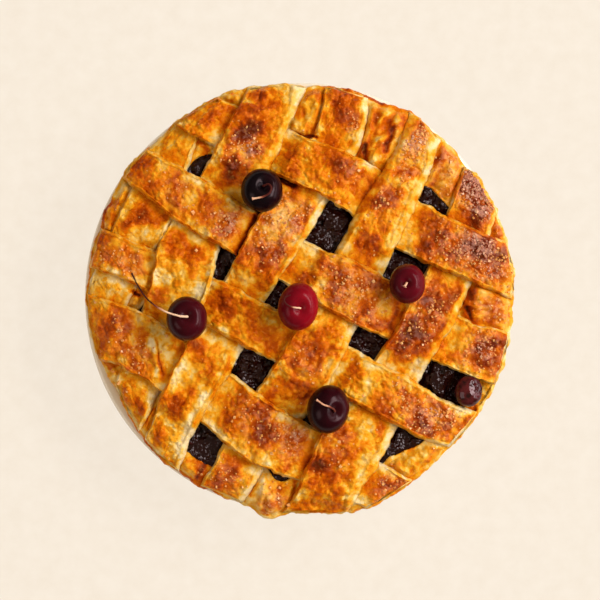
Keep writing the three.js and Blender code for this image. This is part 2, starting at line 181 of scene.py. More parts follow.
def blisters(points, pitch, seed):
    """Domes of all sizes with creases between them, from 0 to 1."""
    bend = np.stack([swells(points, pitch, seed + k) for k in range(3)], axis=-1)
    nearest, number = cells(points + 0.3 * pitch * bend, pitch, seed)
    dome = np.clip(BLISTER_TOP - (nearest / BLISTER_REACH) ** 2, 0, 1)
    return number**BLISTER_SIZES * dome


def flat_points(x, y, z=0.0):
    """Points from separate coordinates, ready for the swells."""
    return np.stack(np.broadcast_arrays(x, y, z), axis=-1)


sample = swells(flat_points(*np.meshgrid(np.arange(90.0), np.arange(90.0))), 7)
print("swells run from", round(sample.min(), 2), "to", round(sample.max(), 2))

# %% [markdown]
# A few small tools come back in every piece: a smooth step, a mix of two values, angles
# once round the pie, the slow waviness of hand-cut dough, and soft spots on a plan.

# %% Small tools for numbers
def ramp(start, end, value):
    """Rises smoothly from 0 at start to 1 at end."""
    share = np.clip((value - start) / (end - start), 0, 1)
    return share * share * (3 - 2 * share)


def mix(first, second, share):
    """Goes from the first value to the second as the share goes from 0 to 1."""
    return first + (second - first) * share


def full_turn(sides):
    """Evenly spaced angles once round."""
    return np.arange(sides) / sides * 2 * math.pi


def uneven(x, y, pitch, phase):
    """Slow regular waves from -1 to 1, as hand-cut edges have."""
    k = 2 * math.pi / pitch
    first = np.sin(k * (0.93 * x + 0.37 * y) + phase)
    second = np.sin(k * (0.88 * y - 0.41 * x) + 2.1 * phase)
    third = np.sin(1.31 * k * (0.62 * x - 0.71 * y) + 3.7 * phase)
    return (first + second + third) / 3


def spots(marks, x, y):
    """Soft round spots, each given as x, y, radius and strength; the strongest counts."""
    total = np.zeros(np.shape(x))
    for at_x, at_y, radius, strength in marks:
        away = np.hypot(x - at_x, y - at_y) / radius
        spot = strength * np.exp(-(away**2))
        total = np.where(np.abs(spot) > np.abs(total), spot, total)
    return total


print("halfway up a ramp from 0 to 4 lies", float(ramp(0, 4, 2.0)))

# %% [markdown]
# A mesh is made from a net of points in rows and columns, where every row closes on itself
# as the ring round a tube does. One helper lists the four-cornered faces between the rows,
# one finds which way each point faces, and one turns a net into a Blender object that
# rides on the pie's one body. Any measure that a finish needs later, such as how brown a
# place is, is kept on the points as a named attribute.

# %% Nets of points
def net_faces(rows, columns):
    """Four-cornered faces between the rows of a net."""
    i, j = np.meshgrid(np.arange(rows - 1), np.arange(columns), indexing="ij")
    right = (j + 1) % columns
    here, below = i * columns, (i + 1) * columns
    return np.stack([here + j, here + right, below + right, below + j], axis=-1).reshape(-1, 4)


def net_normals(points):
    """The direction in which each point of a net faces."""
    along = np.gradient(points, axis=0)
    around = np.roll(points, -1, axis=1) - np.roll(points, 1, axis=1)
    facing = np.cross(along, around)
    return facing / np.maximum(np.linalg.norm(facing, axis=-1, keepdims=True), 1e-9)


def volume_of(points, faces):
    """Six times the volume inside four-cornered faces: its sign tells which way they face."""
    a, b, c, d = (points[faces[:, k]] for k in range(4))
    return np.einsum("ij,ij->", a, np.cross(b, c)) + np.einsum("ij,ij->", a, np.cross(c, d))


def make_piece(name, points, finish, marks=None, replaces=(), faces=None, smooth=True):
    """A finished mesh riding on the pie, from points in millimetres.

    Without faces the points are a net, and its first and last rows are closed by caps.
    """
    caps = []
    if faces is None:
        rows, columns = points.shape[:2]
        faces = net_faces(rows, columns)
        caps = [range(columns)[::-1], range((rows - 1) * columns, rows * columns)]
    points = points.reshape(-1, 3)
    inside_out = volume_of(points - points.mean(axis=0), faces) < 0
    faces = [list(face) for face in (faces[:, ::-1] if inside_out else faces)]
    faces += [list(cap)[::-1] if inside_out else list(cap) for cap in caps]
    mesh = bpy.data.meshes.new(name)
    mesh.from_pydata((points * MM).tolist(), [], faces)
    for mark, values in (marks or {}).items():
        attribute = mesh.attributes.new(mark, "FLOAT", "POINT")
        attribute.data.foreach_set("value", np.ravel(values).astype(np.float32))
    mesh.polygons.foreach_set("use_smooth", [smooth] * len(mesh.polygons))
    mesh.materials.append(finish)
    piece = bpy.data.objects.new(name, mesh)
    bpy.context.scene.collection.objects.link(piece)
    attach(piece, "root")
    if replaces:
        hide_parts(*replaces)
    print(name, len(mesh.vertices), "points")


print("a net of 3 rings of 8 points has", len(net_faces(3, 8)), "faces")

# %% [markdown]
# ## Helpers for finishes
#
# Every finish is one Principled shader with a small net of nodes in front of it. The
# helpers below keep that net readable: `add` makes a node and joins or sets its sockets,
# and the others make the few nodes that come back in every finish.

# %% Material helpers
def join(tree, socket, value):
    """Joins a node or another socket to a socket, or sets it to a plain value."""
    if isinstance(value, bpy.types.Node):
        value = value.outputs[0]
    if isinstance(value, bpy.types.NodeSocket):
        tree.links.new(value, socket)
    else:
        socket.default_value = value


def add(tree, kind, sockets=None, **settings):
    """A new shader node with its settings made and its sockets set or joined."""
    node = tree.nodes.new("ShaderNode" + kind)
    for setting, value in settings.items():
        setattr(node, setting, value)
    for socket, value in (sockets or {}).items():
        join(tree, node.inputs[socket], value)
    return node


def mark(tree, name):
    """What a piece's points carry under that name."""
    return add(tree, "Attribute", attribute_name=name).outputs["Fac"]


def new_finish(name, **fixed):
    """A material with a Principled shader, whose fixed sockets are set directly."""
    finish = bpy.data.materials.new(name)
    finish.use_nodes = True
    tree = finish.node_tree
    tree.nodes.clear()
    shader = add(tree, "BsdfPrincipled")
    for socket, value in fixed.items():
        shader.inputs[socket.replace("_", " ")].default_value = value
    end = add(tree, "OutputMaterial")
    tree.links.new(shader.outputs["BSDF"], end.inputs["Surface"])
    place = add(tree, "TexCoord").outputs["Object"]
    return finish, tree, shader, place


def sums(tree, first, second, operation="ADD"):
    """One step of arithmetic with two values."""
    return add(tree, "Math", {0: first, 1: second}, operation=operation)


def grain(tree, place, pitch, detail=3.0, roughness=0.55):
    """Noise with one swell about every pitch, given in millimetres, around one half."""
    fineness = {"Scale": 1 / (pitch * MM), "Detail": detail, "Roughness": roughness}
    return add(tree, "TexNoise", {"Vector": place, **fineness}).outputs[0]


def centred(tree, value, strength):
    """Turns noise around one half into a change around zero, times a strength."""
    return sums(tree, sums(tree, value, 0.5, "SUBTRACT"), strength, "MULTIPLY")


def colors(tree, value, stops):
    """A ramp of colours along a value."""
    ramp_node = add(tree, "ValToRGB", {0: value})
    elements = ramp_node.color_ramp.elements
    while len(elements) < len(stops):
        elements.new(0.5)
    for element, (position, color) in zip(elements, stops):
        element.position = position
        element.color = (*color, 1)
    return ramp_node.outputs["Color"]


def blend_colors(tree, share, first, second):
    """A mix of two colours; at a share of 1 only the second one is left."""
    node = add(tree, "Mix", data_type="RGBA")
    join(tree, node.inputs[0], share)
    for socket, value in ((node.inputs[6], first), (node.inputs[7], second)):
        join(tree, socket, (*value, 1) if isinstance(value, tuple) else value)
    return node.outputs[2]


def span(tree, value, low, high, to_low=0.0, to_high=1.0):
    """Stretches a value from one range to another and keeps it there."""
    sockets = {0: value, 1: low, 2: high, 3: to_low, 4: to_high}
    return add(tree, "MapRange", sockets).outputs[0]


def bumped(tree, shader, height, depth):
    """Fine relief, its depth given in millimetres, on the shader's normal."""
    bump = add(tree, "Bump", {"Strength": 1.0, "Distance": depth * MM, "Height": height})
    tree.links.new(bump.outputs["Normal"], shader.inputs["Normal"])


print("a grain of 2 mm is a noise of scale", round(1 / (2 * MM)))

# %% [markdown]
# ## Room and floor
#
# The room is pale overhead and darker at the walls, so that wet places mirror little but
# the windows. The floor is plain cream paper. Most of its brightness is its own glow, which
# keeps it pale even where the dish shades it.

# %% Room and floor
FLOOR_HALF, FLOOR_LEVEL = 2.2, -0.2 * MM
WALL_LIGHT, CEILING_LIGHT = 0.17, 0.42
PAPER_GLOW, PAPER_SHADE = 0.92, 0.08


def pale_room():
    """Soft light from all round, brighter towards the ceiling."""
    room = bpy.data.worlds.new("pale_room")
    room.use_nodes = True
    tree = room.node_tree
    way = add(tree, "TexCoord").outputs["Generated"]
    height = add(tree, "SeparateXYZ", {0: way}).outputs["Z"]
    sky = tree.nodes["Background"].inputs
    join(tree, sky["Color"], (1.0, 0.80, 0.56, 1))
    join(tree, sky["Strength"], span(tree, height, 0.1, 0.8, WALL_LIGHT, CEILING_LIGHT))
    return room


def paper_finish():
    """Cream paper that glows by itself and takes only faint shadows."""
    finish, tree, shader, place = new_finish(
        "cream_paper", Roughness=0.9, Emission_Strength=PAPER_GLOW
    )
    fibre = grain(tree, place, 9.0, 5.0)
    paper = colors(tree, fibre, [(0.3, (0.90, 0.80, 0.675)), (0.7, (0.935, 0.84, 0.72))])
    shaded = blend_colors(tree, PAPER_SHADE, (0.0, 0.0, 0.0), paper)
    join(tree, shader.inputs["Base Color"], shaded)
    join(tree, shader.inputs["Emission Color"], paper)
    return finish


bpy.context.scene.world = pale_room()
floor_mesh = bpy.data.meshes.new("floor")
floor_signs = ((-1, -1), (1, -1), (1, 1), (-1, 1))
floor_corners = [(sx * FLOOR_HALF, sy * FLOOR_HALF, FLOOR_LEVEL) for sx, sy in floor_signs]
floor_mesh.from_pydata(floor_corners, [], [(0, 1, 2, 3)])
floor_mesh.materials.append(paper_finish())
floor = bpy.data.objects.new("floor", floor_mesh)
bpy.context.scene.collection.objects.link(floor)
print("floor", 2 * FLOOR_HALF, "m wide")

# %% [markdown]
# ## The dish
#
# The dish is thick glazed stoneware. A potter's wheel or a mould makes it round, so it is
# a profile turned about the middle. The corners of a short profile are cut off three
# times over, which rounds them as glaze does. The finish is a white glaze: smooth, half
# glossy, and slightly cloudy where it lies thicker. Its warm cream tint is partly painted
# light, the warm glow that the pastry throws onto it.

# %% Dish
dish_top = np.array(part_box("dish")[1]) / MM
DISH_RADIUS, DISH_HEIGHT = dish_top[0], dish_top[2]
DISH_SIDES = 240
FOOT_RADIUS, FLOOR_THICK, WALL, LIP_WIDTH = 84, 6, 5, 8
WALL_FOOT = (FOOT_RADIUS - 3, FLOOR_THICK)
WALL_HEAD = (DISH_RADIUS - LIP_WIDTH, DISH_HEIGHT - 2.5)
foot, head = WALL_FOOT, WALL_HEAD
DISH_PROFILE = [
    (1, 0.9), (FOOT_RADIUS - 9, 0.9), (FOOT_RADIUS - 6, 0), (FOOT_RADIUS - 1, 0),
    (FOOT_RADIUS + 5, 5), (head[0] + WALL - 2, head[1] - 6), (head[0] + WALL, head[1] - 3),
    (DISH_RADIUS - 0.9, DISH_HEIGHT - 4.2), (DISH_RADIUS - 0.2, DISH_HEIGHT - 2.2),
    (DISH_RADIUS - 1.2, DISH_HEIGHT + 0.05), (head[0] + 2, DISH_HEIGHT), (head[0], head[1]),
    (foot[0], foot[1] + 1.4), (foot[0] - 3, foot[1]), (1, foot[1]),
]


def rounded(profile, times):
    """Cuts the corners off a profile again and again; its two ends stay."""
    profile = np.array(profile, float)
    for _ in range(times):
        near = mix(profile[:-1], profile[1:], 0.25)
        far = mix(profile[:-1], profile[1:], 0.75)
        between = np.stack([near, far], axis=1).reshape(-1, 2)
        profile = np.vstack([profile[:1], between, profile[-1:]])
    return profile


def dish_finish():
    """White glaze with faint clouds, its warm tint partly painted light from the pastry."""
    finish, tree, shader, place = new_finish(
        "white_glaze", Roughness=0.2, IOR=1.5, Coat_Weight=0.25, Coat_Roughness=0.08
    )
    cloud = grain(tree, place, 22.0, 4.0)
    # The warm cream tint of the glaze is partly painted light: the glow that the pastry throws onto the
    # white dish.
    glaze = colors(tree, cloud, [(0.3, (0.85, 0.77, 0.64)), (0.7, (0.90, 0.83, 0.72))])
    join(tree, shader.inputs["Base Color"], glaze)
    bumped(tree, shader, grain(tree, place, 6.0, 2.0), 0.05)
    return finish


radius, height = rounded(DISH_PROFILE, 3).T[..., None]
angle = full_turn(DISH_SIDES)
dish_points = flat_points(radius * np.cos(angle), radius * np.sin(angle), height)
make_piece("pie_dish", dish_points, dish_finish(), replaces=["dish"])

# %% [markdown]
# ## The plan of the pastry
#
# Before any dough is shaped, the plan has to be known: where the baked edge runs, how high
# the bed lies that the strips rest on, and how each strip runs over and under the others.
# The solids were made from nearly the same plan, so the fine meshes lie on them to within
# about two and a half millimetres.

# %% Edge, rim and bed
GAP = 0.35  # the solids keep this much clear of each other
RIM_THICK = 5.5
RIM_TOP = DISH_HEIGHT + GAP + RIM_THICK
RIM_INNER_RADIUS, CRUST_RADIUS = 103, 115
EDGE_FALL, EDGE_FALL_WIDTH, DOME = 3.2, 13, 4.5
EDGE_RAGGED = 0.9
# Where the edge swells out and where the rim is folded in: degrees, millimetres, spread.
EDGE_SWELLS = [
    (15, 1.1, 30), (7, 1.2, 6), (34, 1.0, 5), (38, -1.5, 3), (52, -0.9, 3), (56, 1.4, 5), (69, -1.0, 4),
    (86, -1.2, 5), (109, 1.9, 9), (132, -1.2, 4), (142, 1.3, 4), (163, -1, 14), (208, -4, 16),
    (262, 5.2, 4.2), (287, 4.4, 14), (338, 0.9, 8),
]
RIM_FOLDS = [
    (35, 10, 12), (44, 6, 4), (63, 28, 12), (89, 20, 10), (120, 12.5, 5), (126, 4.5, 3.5), (132, 11, 5),
    (179, 22, 10), (216, 15, 7), (258, 10, 4.5), (271, 9, 5), (300, 3.5, 7), (331, -6, 7),
    (357, 19, 10),
]


def bumps(marks, angle):
    """The sum of soft bumps round the pie: angle in degrees, amount and spread."""
    total = 0
    for at, amount, spread in marks:
        off = np.degrees(angle) - at
        off = off - 360 * np.round(off / 360)
        total = total + amount * np.exp(-((off / spread) ** 2))
    return total


def edge_radius(angle):
    """The baked edge: it swells and shrinks, and crumbs are broken off here and there."""
    round_it = flat_points(CRUST_RADIUS * np.cos(angle), CRUST_RADIUS * np.sin(angle))
    return CRUST_RADIUS + bumps(EDGE_SWELLS, angle) + EDGE_RAGGED * rough(round_it, 9, 4, 15)


def rim_radius(angle):
    """The inner edge of the rim, folded in over the filling here and there."""
    return RIM_INNER_RADIUS - bumps(RIM_FOLDS, angle)


def inside_edge(x, y):
    """How far places lie inside the baked edge."""
    return edge_radius(np.arctan2(y, x)) - np.hypot(x, y)


def bed_height(x, y):
    """The bed of the strips: a low dome that falls off towards the baked edge."""
    share = np.minimum(1, np.hypot(x, y) / RIM_INNER_RADIUS)
    dome = DOME * np.cos(share * math.pi / 2) ** 2
    outward = np.maximum(0, 1 - inside_edge(x, y) / EDGE_FALL_WIDTH)
    return RIM_TOP + GAP + dome - EDGE_FALL * outward**2


print("the bed is", round(float(bed_height(0.0, 0.0)), 1), "mm above the table in the middle")

# %% Routes of the strips
# Stations along each strip's middle line: x, y and width.
DOWN_STRIPS = {
    "strip_down_1": [(-64, 104, 25), (-32, 88, 25), (1, 73, 25), (25, 63, 28),
                     (58.2, 38.8, 28.6), (89, 24, 27), (121, 12, 30)],
    "strip_down_2": [(-102, 81, 18), (-80, 66, 22), (-52.6, 48.6, 27.4), (-29, 34, 25),
                     (6, 14, 27), (30.6, 2, 30.2), (81.3, -23.3, 27.5), (118, -36, 31)],
    "strip_down_3": [(-118, 30, 21), (-90, 19, 21), (-61, 5, 24), (-29, -12, 26),
                     (38, -47, 26), (69.9, -64.3, 24.6), (97, -75, 23)],
    "strip_down_4": [(-121, -12, 31), (-90, -23, 32), (-70, -35, 30), (-26.7, -68.2, 32.5),
                     (-5.8, -80, 31.8), (25, -94, 27), (58, -111, 25)],
}
UP_STRIPS = {
    "strip_up_0": [(-54, 111, 22), (-65, 88, 22), (-81.6, 44.6, 27.6), (-102, 4, 25),
                   (-114, -22, 24)],
    "strip_up_1": [(-7, 121, 27), (-30.5, 73.8, 31.2), (-51.2, 39.8, 29.6), (-59.2, 24.3, 32.6),
                   (-64.8, 4, 31), (-82, -39, 25), (-100, -74, 24)],
    "strip_up_2": [(28, 124, 25), (22, 89, 25), (11, 70, 26), (-8.1, 38.3, 28.8),
                   (-25.9, 9, 25), (-49.5, -34.2, 28), (-68.5, -71, 23), (-77, -95, 24)],
    "strip_up_3": [(75, 114, 22), (63, 79, 22), (45, 43, 27), (19, -8, 29),
                   (7, -31, 30), (-4, -49, 30), (-29, -85, 26), (-49, -118, 24)],
    "strip_up_4": [(112, 94, 26), (97, 56, 26), (82.6, 15.8, 26), (67.9, -13.4, 26.8),
                   (59.4, -28.6, 25.4), (29.1, -78.2, 34.8), (19, -97, 32), (3, -127, 30)],
}


class Route:
    """A smooth line through stations, walked at an even pace from 0 to 1."""

    def __init__(self, stations):
        self.stations = np.array(stations, float)
        self.ticks = np.linspace(0, 1, 201)
        steps = np.diff(self.curve(self.ticks)[0], axis=0)
        self.lengths = np.concatenate([[0], np.cumsum(np.linalg.norm(steps, axis=1))])

    def curve(self, t):
        """Place and direction where t counts the stations evenly."""
        first, last = self.stations[:2], self.stations[-2:]
        padded = np.vstack([2 * first[0] - first[1], self.stations, 2 * last[1] - last[0]])
        walked = np.clip(t, 0, 1) * (len(self.stations) - 1)
        i = np.minimum(walked.astype(int), len(self.stations) - 2)
        f = (walked - i)[..., None]
        a, b, c, d = (padded[i + k] for k in range(4))
        leave, arrive = (c - a) / 2, (d - b) / 2
        square = 3 * (c - b) - 2 * leave - arrive
        cubic = 2 * (b - c) + leave + arrive
        place = b + f * (leave + f * (square + f * cubic))
        return place, leave + f * (2 * square + 3 * f * cubic)

    def at(self, share):
        """Place and direction at a share of the whole length."""
        walked = np.interp(share, self.lengths / self.lengths[-1], self.ticks)
        return self.curve(walked)


print(len(DOWN_STRIPS), "strips run down to the right and", len(UP_STRIPS), "run down to the left")

# %% [markdown]
# ## How the weave lies
#
# Where one strip crosses another it climbs over it, and where it is underneath it is
# pressed thinner. Both depend only on how far a place is from the strips that cross
# there. A strip covers what lies inside its edges fully, and its influence fades over the
# next few millimetres, so the dough comes down again in a soft slope.

# %% The weave
STRIP_THICK, PRESSED_SHARE = 4.9, 0.34
SLOPE_START, SLOPE_REACH = 1, 10
EDGE_THINNING = 0.3
RAGGED, RAGGED_PITCH = 0.035, 37
END_INSET, END_ROUND, END_CROWDING = 0.6, 2.2, 0.2
CROSSING_GAP = 0.12  # baked strips touch where they cross


class Strip(Route):
    """One strip of dough: its route and what it passes over and under."""

    def __init__(self, name, stations):
        super().__init__([(x, y, width / 2) for x, y, width in stations])
        self.name = name
        self.trail = self.at(np.linspace(0, 1, 111))[0]
        self.below = []
        self.above = []

    def place(self, share, across, outward=0.0):
        """Where it is at a share of its route, some half widths to the right of the middle."""
        middle, way = self.at(share)
        along = way[..., :2] / np.linalg.norm(way[..., :2], axis=-1, keepdims=True)
        wander = uneven(middle[..., 0], middle[..., 1], RAGGED_PITCH, 2 * across)
        offset = across * middle[..., 2] * (1 + RAGGED * wander) + outward
        return middle[..., 0] + offset * along[..., 1], middle[..., 1] - offset * along[..., 0]

    def beyond(self, x, y):
        """How far places lie outside its edge; less than zero on the strip."""
        nearest = np.full(np.shape(x), np.inf)
        for at_x, at_y, half in self.trail:
            nearest = np.minimum(nearest, np.hypot(x - at_x, y - at_y) - half)
        return nearest

    def ends(self, across, inset):
        """Shares of the route between which it lies inside the baked edge."""
        found = []
        for out, into in ((0.0, 0.35), (1.0, 0.65)):
            a, b = np.full(np.shape(across), out), np.full(np.shape(across), into)
            for _ in range(20):
                middle = (a + b) / 2
                outside = inside_edge(*self.place(middle, across)) < inset
                a, b = np.where(outside, middle, a), np.where(outside, b, middle)
            found.append(b)
        return found


down_strips = [Strip(name, stations) for name, stations in DOWN_STRIPS.items()]
up_strips = [Strip(name, stations) for name, stations in UP_STRIPS.items()]
strips = down_strips + up_strips
for i, down in enumerate(down_strips):
    for j, up in enumerate(up_strips):
        up_is_over = j > 0 and (i + 1 + j) % 2 == 0  # the short strip goes under them all
        over, under = (up, down) if up_is_over else (down, up)
        over.below.append(under)
        under.above.append(over)
print(len(strips), "strips,", sum(len(strip.below) for strip in strips), "crossings")

# %% [markdown]
# The height of the dough at a place follows from what covers it. The plan works this out
# for a whole net of places at once: how far each is from every strip and from the baked
# edge, how much a strip is pressed there, and how high it is lifted by those it passes over.

# %% What lies where
class Plan:
    """The weave at a set of places."""

    def __init__(self, x, y):
        self.x, self.y = x, y
        self.beyond = {strip.name: strip.beyond(x, y) for strip in strips}
        self.inside = inside_edge(x, y)
        self.edge = 1 - ramp(0, EDGE_FALL_WIDTH, self.inside)

    def cover(self, strip):
        """How fully a strip covers each place, from 0 to 1."""
        return 1 - ramp(SLOPE_START, SLOPE_REACH, self.beyond[strip.name])

    def pressed(self, strip):
        """How much a strip is pressed by those that cross over it, from 0 to 1."""
        return np.max([np.zeros(np.shape(self.x))] + [self.cover(s) for s in strip.above], axis=0)

    def thickness(self, strip):
        pressed = 1 - PRESSED_SHARE * self.pressed(strip)
        return STRIP_THICK * pressed * (1 - EDGE_THINNING * self.edge)

    def lift(self, strip, depth=3):
        """How far the strip's underside is lifted by what it passes over."""
        total = np.zeros(np.shape(self.x))
        if depth == 0:
            return total
        for under in strip.below:
            rise = self.lift(under, depth - 1) + self.thickness(under) + CROSSING_GAP
            total = total + (rise * self.cover(under)) ** 4
        return total**0.25

    def nearest(self):
        """Distance to the nearest strip; less than zero below one."""
        return np.min(list(self.beyond.values()), axis=0)


crossing = Plan(*down_strips[1].place(np.linspace(0, 1, 200), np.zeros(200)))
highest = crossing.lift(down_strips[1]).max()
print("the second strip is lifted by up to", round(float(highest), 1), "mm")

# %% [markdown]
# ## Browning and painted shade
#
# Heat browns a pie unevenly: the tops of blisters and the places where the egg wash
# pooled turn orange and brown, one side of the oven is hotter, and what was shaded by a
# crossing strip stays pale. Coarse sugar melts in patches and goes dark between its
# crystals. The first list below names the places that came out browner or paler than the
# rest, and among them a few painted shadows beside the cherries and strips and one painted
# pool of light. The second one names the places where the sugar fell thickest, and the
# third one the single folds and cracks that are too marked to be left to chance, whose
# darkening is mostly painted shade in the grooves.

# %% Brown places, painted shadows and sugar
# Each is x, y, radius and strength.
BROWNED_AND_SHADED = [
    (-72, -28, 48, 0.04), (-40, 62, 30, 0.05), (-20, -75, 30, 0.05), (-20, 103, 13, 0.24),
    # On this line and the next, the spots at (-37, 73) and (-35, 66) are the painted shadow of
    # cherry_1, and (3, -50) is the painted shadow of cherry_5.
    (-24, 90, 5, 0.7), (-31, 87, 6, 0.8), (-37, 80, 5.5, 0.6), (-26, 79, 6, 0.2), (-37, 73, 7, 0.62),
    (-35, 66, 7, 0.54), (3, -50, 5, 0.28), (-42, 38, 11, 0.26), (-53, 44, 10, 0.36), (-77, 68, 8, 0.14),
    (-64, 55, 8, 0.24), (-68, 87, 7, 0.24), (-50, 95, 8, 0.26), (-85, 45, 9, 0.3), (-93, 22, 10, 0.06),
    (-89, 14, 6, 0.12), (-80, 33, 6, -0.3), (-101, 6, 9, -0.1), (19, 97, 13, 0.28), (22, 84, 9, 0.2),
    (14, 71, 13, -0.04), (20, 60, 9, 0.1), (46, 55, 12, 0.26), (36, 33, 11, 0.22), (62, 81, 8, 0.16),
    (80, 71, 8, 0.34), (94, 60, 12, 0.86), (97, 44, 11, 0.74), (98, 25, 13, 0.62), (92, 0, 10, 0.78),
    (70, 33, 10, 0.22), (27, 6, 11, 0.18), (19, 19, 8, 0.2), (35, -4, 7, 0.2), (62, -18, 12, 0.6),
    (69, -4, 10, 0.34), (67, -25, 8, 0.34), (54, -30, 8, 0.14), (105, -8, 7, 0.4), (99, -28, 10, 0.42),
    (-29, -4, 10, 0.22), (-40, -2, 8, 0.26), (-18, 17, 9, 0.36), (-10, 40, 12, -0.04),
    (0, -34, 13, 0.34), (-8, -47, 9, 0.22), (-93, -20, 10, 0.06), (-88, -31, 9, 0.06),
    # The spot at (-14, -15) on the next line is a painted pool of light that lifts the shadow of
    # cherry_3.
    (-14, -15, 7, -0.16), (-66, -29, 7, 0.14), (-84, -47, 8, -0.1), (-55, -42, 11, -0.04),
    (-65, -61, 6, 0.34), (-25, -63, 13, 0.44), (-37, -55, 8, 0.12), (-18, -71, 12, 0.4),
    (-4, -79, 8, 0.14), (28, -43, 12, -0.06), (54, -52, 12, 0.18), (70, -66, 10, 0.22),
    (99, -47, 7, -0.3), (56, 95, 8, 0.4), (88, 68, 6, 0.5), (26, 107, 9, 0.3), (42, 88, 12, -0.06),
    # The spot at (9, -90) on the next line is painted shade where strip_up_3 and strip_up_4 meet.
    (14, -77, 12, 0.2), (9, -90, 7, 0.75), (12, -98, 11, 0.26), (19, -108, 8, 0.2), (43, -98, 8, 0.2),
    (-37, -95, 11, 0.3), (-15, -111, 7, 0.34), (-58, -90, 8, 0.22), (34, 79, 4, 0.42),
]
SUGARED = [
    (94, 60, 15, 1.0), (97, 44, 13, 1.0), (96, 28, 14, 1.0), (103, 15, 9, 0.9), (78, 30, 11, 0.45),
    (80, 70, 9, 0.7), (62, 84, 10, 0.9), (58, 70, 8, 0.5), (46, 54, 11, 0.3), (-27, 80, 7, 0.95),
    (-32, 75, 8, 0.35), (-36, 38, 11, 0.8), (-8, 42, 14, 0.75), (-16, 28, 9, 0.7), (27, 6, 15, 0.6),
    (40, -4, 9, 0.5), (60, -16, 15, 0.4), (70, -3, 11, 0.5), (53, -30, 9, 0.3), (105, -6, 9, 0.8),
    (99, -28, 11, 0.9), (56, -54, 10, 0.4), (70, -64, 12, 0.8), (0, -74, 11, 0.8), (-20, -66, 13, 0.4),
    (-90, 14, 7, 0.6), (-97, 20, 9, 0.3), (-93, -15, 10, 0.35), (-88, -28, 9, 0.5), (-37, -94, 10, 0.3),
    (20, -82, 9, 0.2), (45, -99, 8, 0.7), (-15, -110, 7, 0.6), (4, -35, 10, 0.3), (28, 68, 6, 0.5),
    (30, 93, 5, 0.5), (-63, 58, 9, 0.3),
]
# Single folds and cracks of a piece: the two ends, half the width, height, and darkening, which is
# painted shade in grooves, cracks and gaps as well as some browning; it is negative where a raised fold
# is paler.
CREASES = {
    "crust": [
        (42.3, 99, 38, 84, 1.8, -2.0, 0.25), (46.5, 100, 42.3, 86.7, 2.0, 1.4, -0.12),
        (35, 81, 36, 73.5, 1.4, -2.2, 0.5), (50.3, 91, 46.5, 78.6, 1.5, -3.0, 0.55),
        (43.3, 84, 39, 70.6, 3.2, 1.4, 0.02), (51.4, 94.7, 58.3, 93.6, 1.8, 1.2, -0.2),
        (87.2, 3.7, 87.2, -3.2, 1.2, -1.8, 0.5), (91, 3.7, 92.6, -1.6, 1.4, -1.4, 0.3),
        (90, -5.4, 92.6, -12.3, 0.8, -2.0, 0.5), (98.4, 5.4, 95.8, -4.3, 2.6, 1.8, -0.35),
        (106.5, 3.7, 106.7, 3.2, 1.0, -1.0, 0.4), (-88.3, 2.9, -85.5, 0.6, 0.9, -2.4, 0.9),
        (-90, 1.2, -97, -1.6, 0.5, -0.8, 0.5), (-49.8, -88.3, -54.6, -98, 1.8, -1.0, 0.5),
        (-24, -98, -26.2, -106, 1.5, -1.5, 0.35), (-19.8, -98, -19.8, -104.3, 2.4, 1.4, -0.25),
        (-11.2, -103.3, -10.2, -114, 1.5, -1.0, 0.3), (-98, 50, -101, 40, 1.4, -1.4, 0.1),
        (-62, 80, -57, 86, 1.6, 1.4, -0.2), (75, -82, 66, -92, 1.3, -1.4, 0.2),
        (-9, 83.8, -3, 86.8, 0.7, -1.5, 0.9), (-3, 86.8, 7, 86.2, 0.8, -2.0, 1.0),
        (-76, -51, -78, -61, 1.6, 2.5, -0.1),
    ],
    "strip_up_2": [
        # The second crease here is a painted dark gap at the end of strip_up_1.
        (4, 87, 9, 85.8, 0.8, -1.2, 0.9), (-9.5, 63, -3.5, 60.5, 1.7, -2.5, 1.2),
    ],
    "strip_down_4": [
        (-79.7, -23, -75.4, -41.7, 1.7, 0.7, -0.35), (-76.8, -22, -72.8, -41.7, 0.5, -0.9, 0.4),
    ],
    "strip_up_0": [(-88.3, 2.9, -85.5, 0.6, 0.9, -2.4, 0.9)],
    # Both creases of strip_down_2 are painted shade beside the left edges of strip_up_2 and strip_up_4.
    "strip_down_2": [
        (-19, 49, -35.6, 15, 2.0, -0.6, 0.75), (53.2, -4, 48.8, -17, 1.4, -0.5, 0.35),
    ],
    # This crease is the painted shadow of cherry_1.
    "strip_up_1": [(-38, 70, -35, 63, 2.4, -0.2, 0.25)],
}
print(len(BROWNED_AND_SHADED), "brown or pale places,", len(SUGARED), "sugared places")

# %% [markdown]
# Nothing in an oven comes out as a round spot. So each place is first moved by a few
# millimetres of swells and then looked up, which gives every spot a ragged outline of its
# own. Blotches without any plan are added to the browning.

# %% Browning and sugar at any place
# How far a place is moved before it is looked up.
FOLD_WANDER, BROWN_WANDER, SUGAR_WANDER = 0.9, 3.5, 4
PLANNED, SLOW, BLOTCHED = 0.85, 0.1, 0.18  # what each kind of browning counts


def creased(name, x, y):
    """Height, and browning with painted shade, that the single folds of a piece add."""
    here = flat_points(x, y)
    x = x + FOLD_WANDER * swells(here, 4, 35)
    y = y + FOLD_WANDER * swells(here, 4, 36)
    height, brown = np.zeros(np.shape(x)), np.zeros(np.shape(x))
    for x1, y1, x2, y2, half, rise, stain_and_shade in CREASES.get(name, ()):
        run, climb = x2 - x1, y2 - y1
        share = np.clip(((x - x1) * run + (y - y1) * climb) / (run**2 + climb**2), 0, 1)
        away = np.hypot(x - x1 - share * run, y - y1 - share * climb) / half
        height = height + rise * np.exp(-(away**2))
        brown = brown + stain_and_shade * np.exp(-(away**2))
    return height, brown


